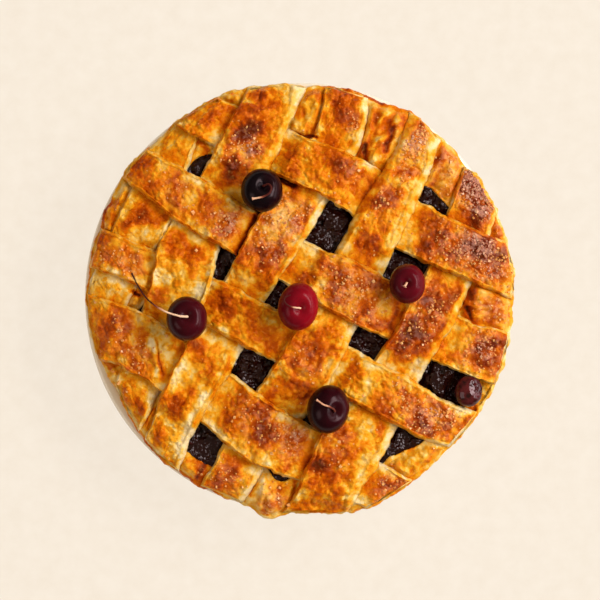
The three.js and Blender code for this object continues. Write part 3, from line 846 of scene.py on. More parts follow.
def browning(x, y):
    """How much browner than plain golden a place is, some painted shadows included; less than zero
    where it is paler.
    """
    here = flat_points(x, y)
    x = x + BROWN_WANDER * swells(here, 11, 21)
    y = y + BROWN_WANDER * swells(here, 11, 22)
    blotches = np.tanh(2.2 * rough(here, 16, 3, 24))
    slow = SLOW * swells(here, 34, 23)
    return PLANNED * spots(BROWNED_AND_SHADED, x, y) + slow + BLOTCHED * blotches


def sugaring(x, y):
    """How thickly sugar lies on a place, from 0 to 1."""
    here = flat_points(x, y)
    x = x + SUGAR_WANDER * swells(here, 9, 31)
    y = y + SUGAR_WANDER * swells(here, 9, 32)
    return np.clip(spots(SUGARED, x, y) + 0.02 + 0.04 * swells(here, 15, 33), 0, 1)


middle = np.zeros(1)
print("browning in the middle of the pie:", round(float(browning(middle, middle)[0]), 2))

# %% [markdown]
# ## The finish of baked pastry
#
# One finish serves the rim and all the strips. A point attribute says how far a place has
# browned, with painted shade and painted light laid into it in places, and the noise nodes
# break it up into finer and finer mottling before a ramp turns it into colour: raw dough,
# gold, orange, brown. Where `sugar` is high, two more ramps take over: sugar that melted
# into the wash turns the brown towards plum, and dry heaps of it are pale and pinkish. The
# egg wash is the gloss of the shader, tinted by the butter in it, and the finest flakes
# are a bump.

# %% Pastry finish
PASTRY_COLORS = [
    (0.00, (0.87, 0.69, 0.39)), (0.14, (0.84, 0.55, 0.14)), (0.28, (0.82, 0.37, 0.014)),
    (0.43, (0.72, 0.195, 0.001)), (0.60, (0.54, 0.088, 0.0005)), (0.76, (0.31, 0.033, 0.0005)),
    (1.00, (0.11, 0.010, 0.001)),
]
MELTED_SUGAR = [
    (0.30, (0.72, 0.24, 0.04)), (0.60, (0.38, 0.06, 0.010)), (0.85, (0.16, 0.018, 0.010)),
]
DRY_SUGAR = [
    (0.30, (0.88, 0.50, 0.22)), (0.60, (0.72, 0.33, 0.18)), (0.90, (0.54, 0.25, 0.20)),
]
LARGE_FLAKE, SMALL_FLAKE = 2.4, 1.2
PATCH_PITCH, HEAP_PITCH, FINE_PITCH = 7.0, 3.8, 1.8
# How much each kind of mottling changes the browning.
PATCHES, CRUMBS, FINE, PALE_FLECK, BROWN_FLECK = 0.19, 0.04, 0.11, -0.07, 0.04
VEIL = 0.72  # how much of the dough a full cover of sugar hides
PASTRY_RELIEF = 0.56


def flakes(tree, place, pitch, warp, seed=0.0):
    """Random numbers that stay the same over one flake of dough and jump to the next."""
    swirl = add(tree, "TexNoise", {"Vector": place, "Scale": 0.7 / (pitch * MM), "Detail": 3.0})
    bend = add(
        tree, "VectorMath", {0: swirl.outputs["Color"], "Scale": warp * MM}, operation="SCALE"
    )
    bent = add(tree, "VectorMath", {0: place, 1: bend}, operation="ADD")
    shifted = add(tree, "VectorMath", {0: bent, 1: (seed, seed, seed)}, operation="ADD")
    return add(tree, "TexVoronoi", {"Vector": shifted, "Scale": 1 / (pitch * MM)}).outputs["Color"]


def channel(tree, color, letter):
    """One of the three numbers of a colour."""
    return add(tree, "SeparateColor", {0: color}).outputs[letter]


def mottled(tree, place, bake, large, small):
    """The browning, broken up by patches, flakes and fine grain."""
    patches = span(tree, grain(tree, place, PATCH_PITCH, 3.0), 0.42, 0.58)
    patches = centred(tree, patches, PATCHES)
    crumbs = centred(tree, channel(tree, small, "Red"), CRUMBS)
    fine = centred(tree, grain(tree, place, FINE_PITCH, 3.0, 0.6), FINE)
    pale_flecks = span(tree, channel(tree, large, "Blue"), 0.70, 0.85, 0.0, PALE_FLECK)
    brown_flecks = span(tree, channel(tree, large, "Blue"), 0.10, 0.20, BROWN_FLECK, 0.0)
    flecks = sums(tree, pale_flecks, brown_flecks)
    return sums(tree, sums(tree, bake, patches), sums(tree, sums(tree, crumbs, fine), flecks))


def pastry_finish():
    """Dough from raw to dark brown, with sugar melted or heaped on it, under an egg wash."""
    finish, tree, shader, place = new_finish(
        "baked_pastry", Specular_IOR_Level=0.36, Specular_Tint=(1.0, 0.58, 0.12, 1.0),
        Subsurface_Weight=0.04, Subsurface_Scale=0.0012, Subsurface_Radius=(1.0, 0.4, 0.1),
    )
    large = flakes(tree, place, LARGE_FLAKE, 4.0)
    small = flakes(tree, place, SMALL_FLAKE, 2.0, 0.3)
    value = mottled(tree, place, mark(tree, "bake"), large, small)
    melted, dry = colors(tree, value, MELTED_SUGAR), colors(tree, value, DRY_SUGAR)
    heaps = span(tree, grain(tree, place, HEAP_PITCH, 3.0, 0.6), 0.48, 0.58)
    veil = blend_colors(tree, heaps, melted, dry)
    cover = sums(tree, mark(tree, "sugar"), VEIL, "MULTIPLY")
    dough = colors(tree, value, PASTRY_COLORS)
    join(tree, shader.inputs["Base Color"], blend_colors(tree, cover, dough, veil))
    join(tree, shader.inputs["Roughness"], span(tree, value, 0.1, 0.7, 0.38, 0.2))
    steps = sums(tree, channel(tree, large, "Green"), channel(tree, small, "Green"))
    relief = sums(tree, sums(tree, steps, 0.3, "MULTIPLY"), grain(tree, place, 2.0, 4.0, 0.6))
    bumped(tree, shader, relief, PASTRY_RELIEF)
    return finish


pastry = pastry_finish()
print("pastry finish with", len(pastry.node_tree.nodes), "nodes")

# %% [markdown]
# ## The strips
#
# Each strip was cut from a sheet of dough with a knife. Its top took the egg wash and
# puffed up in blisters, while its cut sides stayed pale and show the layers of the dough.
# A strip is a net: rows follow the route, and columns run up one side, over the top, down
# the other side and back underneath. The side that faces the window leans out more, so a
# band of pale dough shows beside the brown top. That cut side is also painted paler as
# painted light, and the cut side away from the window is painted darker as painted shade.

# %% Section of a strip
SECTIONS = 380
SIDE_STEPS, TOP_STEPS, UNDER_STEPS = 8, 52, 4
SIDE_TOP = 0.9  # the cut edge stands at this share of the full height
BRIGHT_SIDE, TOP, DARK_SIDE, UNDERSIDE = -1, 0, 1, 2  # the four bands round a strip
# Width of the band of cut dough on the bright side and on the other side, each at both ends.
CUTS = {
    "strip_down_1": ((1.8, 1.8), (1.4, 1.8)), "strip_down_2": ((1.6, 1.8), (1.5, 1.5)),
    "strip_down_3": ((1.8, 2.2), (1.5, 2.2)), "strip_down_4": ((1.8, 1.8), (1.6, 1.6)),
    "strip_up_0": ((2.0, 3.0), (1.4, 1.4)), "strip_up_1": ((6.4, 2.4), (1.4, 1.4)),
    "strip_up_2": ((4.6, 3.2), (1.3, 1.3)), "strip_up_3": ((5.0, 3.2), (5.0, 1.6)),
    "strip_up_4": ((3.0, 4.6), (1.4, 1.4)),
}


def strip_columns(strip, share):
    """Across each row: place from -1 to 1, height share, band, and how far inside the top."""
    middle = strip.at(share)[0]
    wander = rough(flat_points(middle[:, 0], middle[:, 1]), 24, 3, 5)
    bright, dark = (
        mix(first, last, ramp(0.1, 0.6, share)) * (1 + 0.5 * wander) / middle[:, 2]
        for first, last in CUTS[strip.name]
    )
    up = np.linspace(0, 1, SIDE_STEPS, endpoint=False)
    top = np.linspace(0, 1, TOP_STEPS)
    under = np.linspace(0.6, -0.6, UNDER_STEPS)
    across = np.concatenate([
        -1 + bright[:, None] * up,
        mix(-1 + bright[:, None], 1 - dark[:, None], top),
        1 - dark[:, None] * up[::-1],
        np.broadcast_to(under, (len(share), UNDER_STEPS)),
    ], axis=1)
    side = SIDE_TOP * np.sin(up * math.pi / 2) ** 0.8
    crown = mix(SIDE_TOP, 1, 1 - np.abs(2 * top - 1) ** 5)
    height = np.concatenate([side, crown, side[::-1], np.zeros(UNDER_STEPS)])
    counts = [SIDE_STEPS, TOP_STEPS, SIDE_STEPS, UNDER_STEPS]
    band = np.repeat([BRIGHT_SIDE, TOP, DARK_SIDE, UNDERSIDE], counts)
    inward = np.concatenate([
        np.zeros(SIDE_STEPS), np.minimum(top, 1 - top), np.zeros(SIDE_STEPS + UNDER_STEPS),
    ])
    return across, height, band, inward


print("a strip is a net of", SECTIONS, "by", 2 * SIDE_STEPS + TOP_STEPS + UNDER_STEPS, "points")

# %% [markdown]
# Dough that bakes freely blisters, and dough that is pressed by another strip can't. The
# top gets large blisters, small ones, pits and fine cracks, all weaker where it is
# pressed. The sides get the thin level layers of rolled dough.

# %% Relief of a strip
# Pitch and height of the large and small blisters, pits, cracks and crumbs of the top.
LARGE_PITCH, SMALL_PITCH, PIT_PITCH, CRACK_PITCH, CRUMB_PITCH = 7, 2.6, 8, 10, 2.4
LARGE_RISE, SMALL_RISE, PIT_DEPTH, CRACK_DEPTH, CRUMB_RISE = 1.9, 1.0, 1.8, 0.6, 0.3
TOP_SINKS = 0.9  # what lies between the blisters sinks in as they rise
CRACK_WIDTH = 0.09
PRESSED_RELIEF = 0.4  # share of the relief that is left where a strip is pressed


def strip_relief(points, band, free, seed):
    """How far each point is pushed out, and how the blisters change the browning."""
    large, small = blisters(points, LARGE_PITCH, seed), blisters(points, SMALL_PITCH, seed + 4)
    pits = np.maximum(0, swells(points, PIT_PITCH, seed + 8) - 0.2) * PIT_DEPTH
    cracks = np.clip(1 - np.abs(swells(points, CRACK_PITCH, seed + 13)) / CRACK_WIDTH, 0, 1)
    fine = rough(points, CRUMB_PITCH, 2, seed + 9)
    loose = mix(PRESSED_RELIEF, 1, free)
    raised = LARGE_RISE * large + SMALL_RISE * small - CRACK_DEPTH * cracks - TOP_SINKS
    top = (raised - pits + CRUMB_RISE * fine) * loose - 0.2
    layers = 0.45 * swells(points * (0.22, 0.22, 1.3), 1.6, seed + 8)
    sides = (layers + 0.35 * fine) * loose
    browned = large - 0.8 * small - 0.5 * pits - 0.7 * cracks
    return np.select([band == TOP, band == UNDERSIDE], [top, 0 * top], sides), browned


def softened(values, times):
    """Lets the values of neighbouring columns run into each other."""
    for _ in range(times):
        inner = (values[:, :-2] + 2 * values[:, 1:-1] + values[:, 2:]) / 4
        values = np.concatenate([values[:, :1], inner, values[:, -1:]], axis=1)
    return values


lone_value = np.array([[0.0, 0.0, 1.0, 0.0, 0.0]])
print("a lone 1 after it was softened three times:", softened(lone_value, 3).round(2)[0])

# %% [markdown]
# Now the net of a strip can be laid. Its rows are spread evenly along the route, a little
# closer at the two ends, where the strip is cut off at the baked edge. Its edges get small
# notches, because no knife runs through cold dough quite smoothly.

# %% Net of a strip
NOTCH = 0.9


def strip_net(strip, seed):
    """The smooth net of a strip, the plan at its points and their place in the section."""
    even = np.linspace(0, 1, SECTIONS)
    spread = mix(even, 0.5 - 0.5 * np.cos(even * math.pi), END_CROWDING)
    across, height, band, inward = strip_columns(strip, spread)
    inset = mix(END_INSET, END_ROUND, height)
    start, end = strip.ends(across.mean(axis=0), inset)
    share = mix(start, end, spread[:, None])
    middle = strip.at(share)[0]
    # The two edges are far apart in height here, so that each gets notches of its own.
    side_by_side = flat_points(middle[..., 0], middle[..., 1], 40 * np.sign(across))
    x, y = strip.place(share, across, NOTCH * rough(side_by_side, 9, 3, seed) * across**5)
    plan = Plan(x, y)
    z = bed_height(x, y) + plan.lift(strip) + plan.thickness(strip) * height
    return flat_points(x, y, z), plan, height, band, inward


print("the edges of a strip are notched by about", NOTCH, "mm")

# %% Relief and baking of a strip
BAKED, BLISTERED, PALE_EDGE, PRESSED_PALE = 0.45, 0.14, 0.34, 0.06
# Painted light and shade: the cut side facing the window is painted paler, and the other cut side is
# painted darker.
LIT_CUT_PAINTED, SHADED_CUT_PAINTED = 0.06, 0.14  # the cut side at the window is the paler one
# How much browner a cut side is above another strip, and its share of browning and sugar.
OVER_BROWN, CUT_BROWNED, SIDE_SUGAR = 0.22, 0.35, 0.2


def finished_strip(strip, seed):
    """The net of a strip, how far it is baked (with painted shade and light) and sugared, and where its
    top is open.
    """
    points, plan, height, band, inward = strip_net(strip, seed)
    x, y, z = plan.x, plan.y, points[..., 2]
    pressed = plan.pressed(strip)
    free = 1 - pressed
    push, blister = strip_relief(points, band, free, seed)
    facing = net_normals(points)
    if facing[:, band == TOP, 2].mean() < 0:
        facing = -facing
    points = points + facing * push[..., None]
    fold, stain_and_shade = creased(strip.name, x, y)
    points[..., 2] += fold * (height > 0.5)
    pale = ramp(-0.5, 0.8, rough(points, 16, 3, seed + 11)) * (1 - ramp(0.0, 0.28, inward))
    browned, sugared = browning(x, y), sugaring(x, y)
    top = BAKED + browned + BLISTERED * blister * free
    top = top - PALE_EDGE * pale - PRESSED_PALE * pressed
    crumb = 0.2 * rough(flat_points(x, y, z), 5, 3, seed + 12)
    over = np.max([plan.cover(under) for under in strip.below] + [np.zeros_like(x)], axis=0)
    upper = 0.3 * (height - 0.5) * (height > 0.6)
    # The cut sides carry painted light on the window side and painted shade on the other side.
    cut = np.where(band == BRIGHT_SIDE, LIT_CUT_PAINTED, SHADED_CUT_PAINTED) + upper + crumb
    cut = cut + OVER_BROWN * over + CUT_BROWNED * browned
    bake = softened(np.where(band == TOP, top, cut) + stain_and_shade, 5)
    sugar = sugared * np.where(band == TOP, free, SIDE_SUGAR)
    return points, bake, sugar, facing, free * (band == TOP)


print("a plain place on a strip lies at", BAKED, "on the ramp of colours")

# %% [markdown]
# Each strip is made from its own numbers, and keeps a note of where its top is sugared,
# which way it faces there and how thickly the sugar lies, for the crystals later on.

# %% Make the strips
sprinkle_places = []
for seed, strip in enumerate(strips):
    points, bake, sugar, facing, open_top = finished_strip(strip, 40 + 7 * seed)
    make_piece(
        strip.name.replace("strip", "lattice"), points, pastry,
        marks={"bake": bake, "sugar": sugar}, replaces=[strip.name],
    )
    sprinkle_places.append((points, facing, sugar * open_top))
print("strips made:", len(sprinkle_places))

# %% [markdown]
# ## The shell and its rim
#
# The bottom crust lines the dish and lies out over its rim, where the strips were pressed
# on. Between the strips the extra dough was pinched and folded in by hand, so it swells up
# there in crumpled folds. It is a turned net whose profile changes with the angle: up the
# outside, round the ragged baked edge, in over the rim, and down into the filling.

# %% Folds of the rim
FOLD_HEIGHT = 4.2
PATCH_CENTRE, PATCH_RADIUS, PATCH_DEPTH = (90.9, -50.5), 15, 6.5  # hollow of the cooked cherry


def hollow(x, y):
    """Depth of the hollow in which the cooked cherry lies."""
    away = np.hypot(x - PATCH_CENTRE[0], y - PATCH_CENTRE[1])
    return PATCH_DEPTH * (1 - ramp(PATCH_RADIUS * 0.45, PATCH_RADIUS, away))


def folded_dough(x, y, plan):
    """Height of the pinched folds between the strips, and how strongly they are folded."""
    radius, angle = np.hypot(x, y), np.arctan2(y, x)
    room = ramp(-0.2, 2.6, plan.nearest())
    inward = ramp(0.5, 7, radius - rim_radius(angle))
    outward = ramp(0.5, 6, plan.inside)
    around = flat_points(radius * 0.35, angle * 100)
    folds = 1 - np.abs(rough(around, 9, 3, 61)) * 1.7
    return FOLD_HEIGHT * room * inward * outward * (0.45 + 0.55 * folds), folds


print("hollow for the cooked cherry:", float(hollow(*PATCH_CENTRE)), "mm deep")

# %% Profile of the crust
CRUST_SIDES = 900
RIM_STEPS, NOSE_STEPS, NOSE_RADIUS = 46, 9, 2.0
SHELL_THICK, RIM_SLOPE = 4.5, 1.5
ON_DISH = DISH_HEIGHT + 0.15
BELOW_BED = 0.1  # the top of the rim stays this far below the bed of the strips
RIM_HOLLOW = 0.35  # share of the hollow that the rim follows


def crust_profile(angle):
    """Radius and height of each row of the crust at every angle, and where its nose starts."""
    edge, rim = edge_radius(angle), rim_radius(angle)
    base = WALL_FOOT[1] + GAP
    side = GAP * 1.5
    whole = np.ones_like(angle)
    rows = [
        (whole, base), ((WALL_FOOT[0] - 3.4) * whole, base),
        ((WALL_FOOT[0] - side) * whole, base + 1.4),
        ((WALL_HEAD[0] - side) * whole, WALL_HEAD[1] + GAP),
        ((WALL_HEAD[0] + 2) * whole, ON_DISH), (edge - 2.6, ON_DISH),
    ]
    nose_row = len(rows)
    top_start = edge - NOSE_RADIUS
    low = ON_DISH
    high = bed_height(top_start * np.cos(angle), top_start * np.sin(angle)) - BELOW_BED
    for turn in np.linspace(-math.pi / 2, math.pi / 2, NOSE_STEPS):
        height = (low + high) / 2 + (high - low) / 2 * math.sin(turn)
        rows.append((top_start + NOSE_RADIUS * math.cos(turn), height))
    for share in np.linspace(0, 1, RIM_STEPS)[1:]:
        radius = mix(top_start, rim, share)
        x, y = radius * np.cos(angle), radius * np.sin(angle)
        rows.append((radius, bed_height(x, y) - BELOW_BED - RIM_HOLLOW * hollow(x, y)))
    lip = rows[-1][1]
    foot = np.minimum(rim - 1.2, WALL_FOOT[0] - SHELL_THICK)
    rows += [
        (rim - 0.35, lip - 0.4), (rim - 0.6, lip - RIM_SLOPE), (rim - 1.0, lip - 3.5),
        (mix(foot, rim - 1.0, 0.5), mix(base + SHELL_THICK, lip, 0.5)),
        (foot, base + SHELL_THICK + 3), (foot - 4, base + SHELL_THICK), (whole, base + SHELL_THICK),
    ]
    radius, height = (
        np.array([np.broadcast_to(row[k], angle.shape) for row in rows]) for k in (0, 1)
    )
    return radius, height, nose_row


crust_angle = full_turn(CRUST_SIDES)
crust_r, crust_h, nose_row = crust_profile(crust_angle)
print("the crust has", len(crust_r), "rows of", CRUST_SIDES, "points")

# %% [markdown]
# The smooth profile now gets its dough: folds where no strip lies, blisters on top, and a
# crumbly nose all round. It browns where the strips do and a little more on the crests.
# The deepest valleys of the folds are darkened, which is painted shade as well as
# browning, and the nose is browner along some stretches of the edge.

# %% Dough of the crust
crust_x, crust_y = crust_r * np.cos(crust_angle), crust_r * np.sin(crust_angle)
crust_plan = Plan(crust_x, crust_y)
row = np.arange(len(crust_r))[:, None]
nose = (row >= nose_row) & (row < nose_row + NOSE_STEPS)
rim_top = (row >= nose_row + NOSE_STEPS - 1) & (row < nose_row + NOSE_STEPS + RIM_STEPS)
lift, folds = folded_dough(crust_x, crust_y, crust_plan)
crust_points = flat_points(crust_x, crust_y, crust_h + lift * rim_top)
crust_facing = net_normals(crust_points)
if crust_facing[rim_top[:, 0], :, 2].mean() < 0:
    crust_facing = -crust_facing
bare = ramp(-0.5, 3, crust_plan.nearest())
rim_push = 1.2 * blisters(crust_points, LARGE_PITCH, 71)
rim_push = rim_push + 0.7 * blisters(crust_points, 3.2, 74) - 0.5
rim_push = (rim_push + CRUMB_RISE * rough(crust_points, CRUMB_PITCH, 2, 76)) * bare
nose_push = 0.8 * rough(crust_points * (1, 1, 1.6), 6, 4, 77)
push = np.where(rim_top, rim_push, 0) + np.where(nose, nose_push, 0)
crust_points = crust_points + crust_facing * push[..., None]
fold, stain_and_shade = creased("crust", crust_x, crust_y)
crust_points[..., 2] += fold * rim_top * bare
print("the folds of the rim rise by up to", round(float((lift * rim_top).max()), 1), "mm")

# %% Make the crust
RIM_BAKED, RIM_BROWNED, EDGE_BAKED = 0.24, 0.6, 0.2
# The third of these darkens the deepest valleys of the folds: painted shade there, together with some
# browning.
CREST, UNEVEN_RIM, VALLEY_SHADE_AND_BROWN, UNEVEN_EDGE = 0.1, 0.1, 0.3, 0.12
RIM_CRYSTALS = 0.8  # the rim caught a little less sugar than the strips
# The browner stretches of the edge: degrees, strength and spread.
BROWN_EDGES = [
    (70, 0.5, 14), (157, 0.5, 5), (170, 0.25, 10), (224, 0.35, 11), (243, 0.4, 7), (300, 0.2, 12),
]
crust_bake_and_shade = RIM_BAKED + RIM_BROWNED * browning(crust_x, crust_y) + CREST * lift / FOLD_HEIGHT
crust_bake_and_shade = crust_bake_and_shade + UNEVEN_RIM * rough(crust_points, 7, 3, 81)
crust_bake_and_shade = crust_bake_and_shade + VALLEY_SHADE_AND_BROWN * ramp(0.6, 1.3, 1 - folds)
edge_bake = EDGE_BAKED + bumps(BROWN_EDGES, crust_angle)
edge_bake = edge_bake + UNEVEN_EDGE * rough(crust_points, 9, 3, 84)
crust_bake_and_shade = np.where(rim_top, crust_bake_and_shade + stain_and_shade, edge_bake)
crust_sugar = np.where(rim_top, sugaring(crust_x, crust_y) * bare, 0.0)
make_piece(
    "crust_and_rim", crust_points, pastry,
    marks={"bake": crust_bake_and_shade, "sugar": crust_sugar}, replaces=["crust_base"],
)
sprinkle_places.append((crust_points, crust_facing, crust_sugar * RIM_CRYSTALS))

# %% [markdown]
# ## The filling
#
# Cooked cherries sink into their own syrup and come out nearly black. Only small windows
# of it show between the strips, and what the eye sees there is shine: every wrinkle
# catches a glint of the window. The net is flat and round, the cherries are domes in it,
# and the syrup fills the valleys between them, with a skin that is wrinkled a little.

# %% Lumps of the filling
LUMP_HEIGHT, LUMP_RADIUS, LUMP_SPACING, LUMP_COUNT = 3.5, 10, 9, 130


def lumps(x, y):
    """Height of the cherries, sunk in a spiral: 0 between them and 1 on top."""
    highest = np.zeros(np.shape(x))
    for n in range(LUMP_COUNT):
        angle, radius = n * math.pi * (3 - math.sqrt(5)), LUMP_SPACING * math.sqrt(n + 0.5)
        away = np.hypot(x - radius * math.cos(angle), y - radius * math.sin(angle))
        highest = np.maximum(highest, 1 - (away / LUMP_RADIUS) ** 2)
    return np.sqrt(highest)


widest = LUMP_SPACING * math.sqrt(LUMP_COUNT)
print(LUMP_COUNT, "cherries lie in the filling, out to", round(widest), "mm from the middle")

# %% Finish of the filling
SYRUP_COLORS = [
    (0.15, (0.002, 0.0006, 0.0004)), (0.6, (0.006, 0.0012, 0.0007)),
    (0.88, (0.015, 0.0018, 0.0014)), (1.0, (0.085, 0.008, 0.010)),
]
WRINKLE_DEPTH = 3.4


def filling_finish():
    """Nearly black syrup, redder on fruit; fruit above 1 is firm and has few wrinkles."""
    finish, tree, shader, place = new_finish(
        "dark_cherry_syrup", IOR=1.37, Specular_Tint=(0.95, 0.84, 0.92, 1.0)
    )
    fruit = mark(tree, "fruit")
    cloud = grain(tree, place, 4.0, 4.0)
    value = sums(tree, sums(tree, fruit, 0.55, "MULTIPLY"), sums(tree, cloud, 0.5, "MULTIPLY"))
    join(tree, shader.inputs["Base Color"], colors(tree, value, SYRUP_COLORS))
    join(tree, shader.inputs["Roughness"], span(tree, cloud, 0.3, 0.7, 0.06, 0.16))
    softness = span(tree, fruit, 1.0, 1.3, 1.0, 0.2)
    wrinkles = sums(tree, grain(tree, place, 4.4, 2.0, 0.5), softness, "MULTIPLY")
    bumped(tree, shader, wrinkles, WRINKLE_DEPTH)
    return finish


filling_gloss = filling_finish()
print("filling finish with", len(filling_gloss.node_tree.nodes), "nodes")

# %% Surface of the filling
FILLING_SIDES, FILLING_RINGS = 480, 150
SYRUP_LEVEL = -3.1
LEVEL_FROM, LEVEL_TO = 15, 5  # distances from the rim between which the valleys fill up
MERGING = 2.2  # the higher, the sharper the line where fruit dips into syrup
SEEN_LUMP = (76.5, -43.5, 9.5, 3.0)  # a cherry beside the cooked one: x, y, radius, height

filling_angle = full_turn(FILLING_SIDES)
filling_rim = rim_radius(filling_angle)
ring_share = np.linspace(1, 0.004, FILLING_RINGS)[:, None]
filling_r = ring_share * (filling_rim - 0.2)
filling_x, filling_y = filling_r * np.cos(filling_angle), filling_r * np.sin(filling_angle)
level = ramp(filling_rim - LEVEL_FROM, filling_rim - LEVEL_TO, filling_r)
dome = lumps(filling_x, filling_y)
wrinkled = flat_points(filling_x, filling_y)
cherry_top = -LUMP_HEIGHT * (1 - dome) * (1 - level) + 1.1 * rough(wrinkled, 6, 4, 91)
syrup_top = SYRUP_LEVEL + 0.8 * blisters(wrinkled, 5, 95) + 0.3 * rough(wrinkled, 4, 3, 96)
sunk = np.logaddexp(MERGING * cherry_top, MERGING * syrup_top) / MERGING
away = np.hypot(filling_x - SEEN_LUMP[0], filling_y - SEEN_LUMP[1]) / SEEN_LUMP[2]
sunk = sunk + SEEN_LUMP[3] * np.sqrt(np.clip(1 - away**2, 0, 1))
print("the filling rises and falls by", round(float(sunk.max() - sunk.min()), 1), "mm")

# %% Make the filling
BELOW_STRIPS = 1.1  # the tops of the fruit lie about this far below the bed of the strips
SKIRT = 0.78  # the underside is this much narrower than the top
filling_z = bed_height(filling_x, filling_y) - BELOW_STRIPS + sunk
filling_z = filling_z - hollow(filling_x, filling_y)
filling_base = WALL_FOOT[1] + SHELL_THICK + 2 * GAP
skirt = flat_points(filling_x[0] * SKIRT, filling_y[0] * SKIRT, filling_base)[None]
filling_points = np.concatenate([skirt, flat_points(filling_x, filling_y, filling_z)])
fruit = np.concatenate([np.zeros((1, FILLING_SIDES)), ramp(-0.3, 1.0, cherry_top - syrup_top)])
make_piece(
    "cherry_filling", filling_points, filling_gloss,
    marks={"fruit": fruit}, replaces=["filling"],
)

# %% [markdown]
# ## The cherries
#
# A sweet cherry isn't a ball: it is a little longer than wide, has a dimple where the stem
# goes in, and a faint seam down one side. It is a net of rings from the dimple to the
# bottom, bent by those three features. The skin is dark and smooth, and lets a little
# light in, which gives the redder cherries their glow.

# %% Cherry finish
SKIN_COLORS = [
    (0.0, (0.30, 0.002, 0.010)), (0.3, (0.125, 0.002, 0.008)), (0.55, (0.055, 0.002, 0.006)),
    (0.8, (0.016, 0.001, 0.003)), (1.0, (0.003, 0.0015, 0.003)),
]


def cherry_finish():
    """Smooth skin, from red to nearly black as it ripens, with tiny paler specks; the ripe mark also
    holds painted light on the side towards the window.
    """
    finish, tree, shader, place = new_finish(
        "cherry_skin", Roughness=0.23, IOR=1.45, Specular_IOR_Level=0.15,
        Specular_Tint=(1.0, 0.74, 0.82, 1.0), Subsurface_Weight=0.06, Subsurface_Scale=0.002,
        Subsurface_Radius=(1.0, 0.12, 0.1),
    )
    cloud = centred(tree, grain(tree, place, 7.0, 4.0), 0.22)
    specks = add(tree, "TexVoronoi", {"Vector": place, "Scale": 1 / (1.5 * MM)}).outputs[0]
    speck = sums(tree, span(tree, specks, 0.2, 0.05), 0.12, "MULTIPLY")
    value = sums(tree, sums(tree, mark(tree, "ripe"), cloud, "SUBTRACT"), speck, "SUBTRACT")
    join(tree, shader.inputs["Base Color"], colors(tree, value, SKIN_COLORS))
    bumped(tree, shader, grain(tree, place, 1.2, 2.0), 0.03)
    return finish


cherry_skin = cherry_finish()
print("cherry skin runs through", len(SKIN_COLORS), "colours as it ripens")

# %% Shape of a cherry
CHERRY_RINGS, CHERRY_SIDES = 72, 96
DIMPLE_DEPTH, DIMPLE_SPREAD = 0.34, 0.36
SEAM_DEPTH, SEAM_WIDTH, UNEVEN = 0.014, 0.16, 0.012


def cherry_shape(half, dimple, seed):
    """Points of a cherry about its middle, ring by ring from the stem end."""
    down = np.linspace(0.02, math.pi - 0.02, CHERRY_RINGS)[:, None]
    around = full_turn(CHERRY_SIDES)
    away = np.arctan2(np.sin(around), np.cos(around))
    size = 1 - dimple * np.exp(-((down / DIMPLE_SPREAD) ** 2))
    size = size - SEAM_DEPTH * np.exp(-((away / SEAM_WIDTH) ** 2)) * np.sin(down) ** 2
    ball = flat_points(np.sin(down) * np.cos(around), np.sin(down) * np.sin(around), np.cos(down))
    size = size + UNEVEN * swells(ball, 1.1, seed)
    return ball * size[..., None] * np.array(half)


def leaned(points, turn, lean_to, lean):
    """Turns points about +Z and then leans them over towards a direction."""
    a = math.radians(lean_to)
    over = Quaternion(Vector((-math.sin(a), math.cos(a), 0)), math.radians(lean))
    whole = over @ Quaternion((0, 0, 1), math.radians(turn))
    return points @ np.array(whole.to_matrix()).T


def shift_to(points, node):
    """The shift to where the solid of that node lies: same middle, same lowest point."""
    low, high = (np.array(corner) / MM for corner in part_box(node))
    flat = points.reshape(-1, 3)
    shift = (low + high) / 2 - (flat.min(axis=0) + flat.max(axis=0)) / 2
    shift[2] = low[2] - flat.min(axis=0)[2]
    return shift


print("a cherry is", CHERRY_RINGS, "rings of", CHERRY_SIDES, "points")

# %% [markdown]
# The five cherries differ in size, in ripeness and in how they lie, because each one came
# to rest in its own way on the lattice. Each is moved to where its solid lies.

# %% Make the cherries
# The difference between the two sides is painted light, not ripeness: each cherry is painted redder and
# lighter towards the window and darker on the far side.
PAINTED_SIDE_LIGHT = 0.14  # one side is less ripe than the other
# Half sizes across, along and up; turn; direction and lean of the stem end; ripeness.
CHERRIES = {
    "cherry_1": ((11.2, 11.8, 10.4), 0, 66, 20, 0.98),
    "cherry_2": ((10.9, 11.9, 10.6), 0, 80, 10, 0.66),
    "cherry_3": ((10.8, 12.8, 10.8), -8, -40, 10, 0.21),
    "cherry_4": ((9.6, 10.7, 9.8), 0, 160, 7, 0.46),
    "cherry_5": ((11.3, 13.0, 10.9), -12, -12, 28, 0.80),
}
dimples = {}
for seed, (name, (half, turn, lean_to, lean, ripe)) in enumerate(CHERRIES.items()):
    shape = leaned(cherry_shape(half, DIMPLE_DEPTH, 100 + seed), turn, lean_to, lean)
    shift = shift_to(shape, name)
    bottom = leaned(np.array([[0, 0, half[2] * (1 - DIMPLE_DEPTH)]]), turn, lean_to, lean)[0]
    dimples[name] = bottom + shift
    # The ripe mark also holds the painted light of the window side.
    make_piece(
        name.replace("cherry", "fresh_cherry"), shape + shift, cherry_skin,
        marks={"ripe": ripe - PAINTED_SIDE_LIGHT * shape[..., 0] / half[0]}, replaces=[name],
    )

# %% [markdown]
# The cooked cherry beside the rim has lost its firmness in the oven, and its skin has
# fallen in on one side. It is the same net with one side pressed flat and low swells all
# over, in the finish of the filling, so it looks wet and purple.

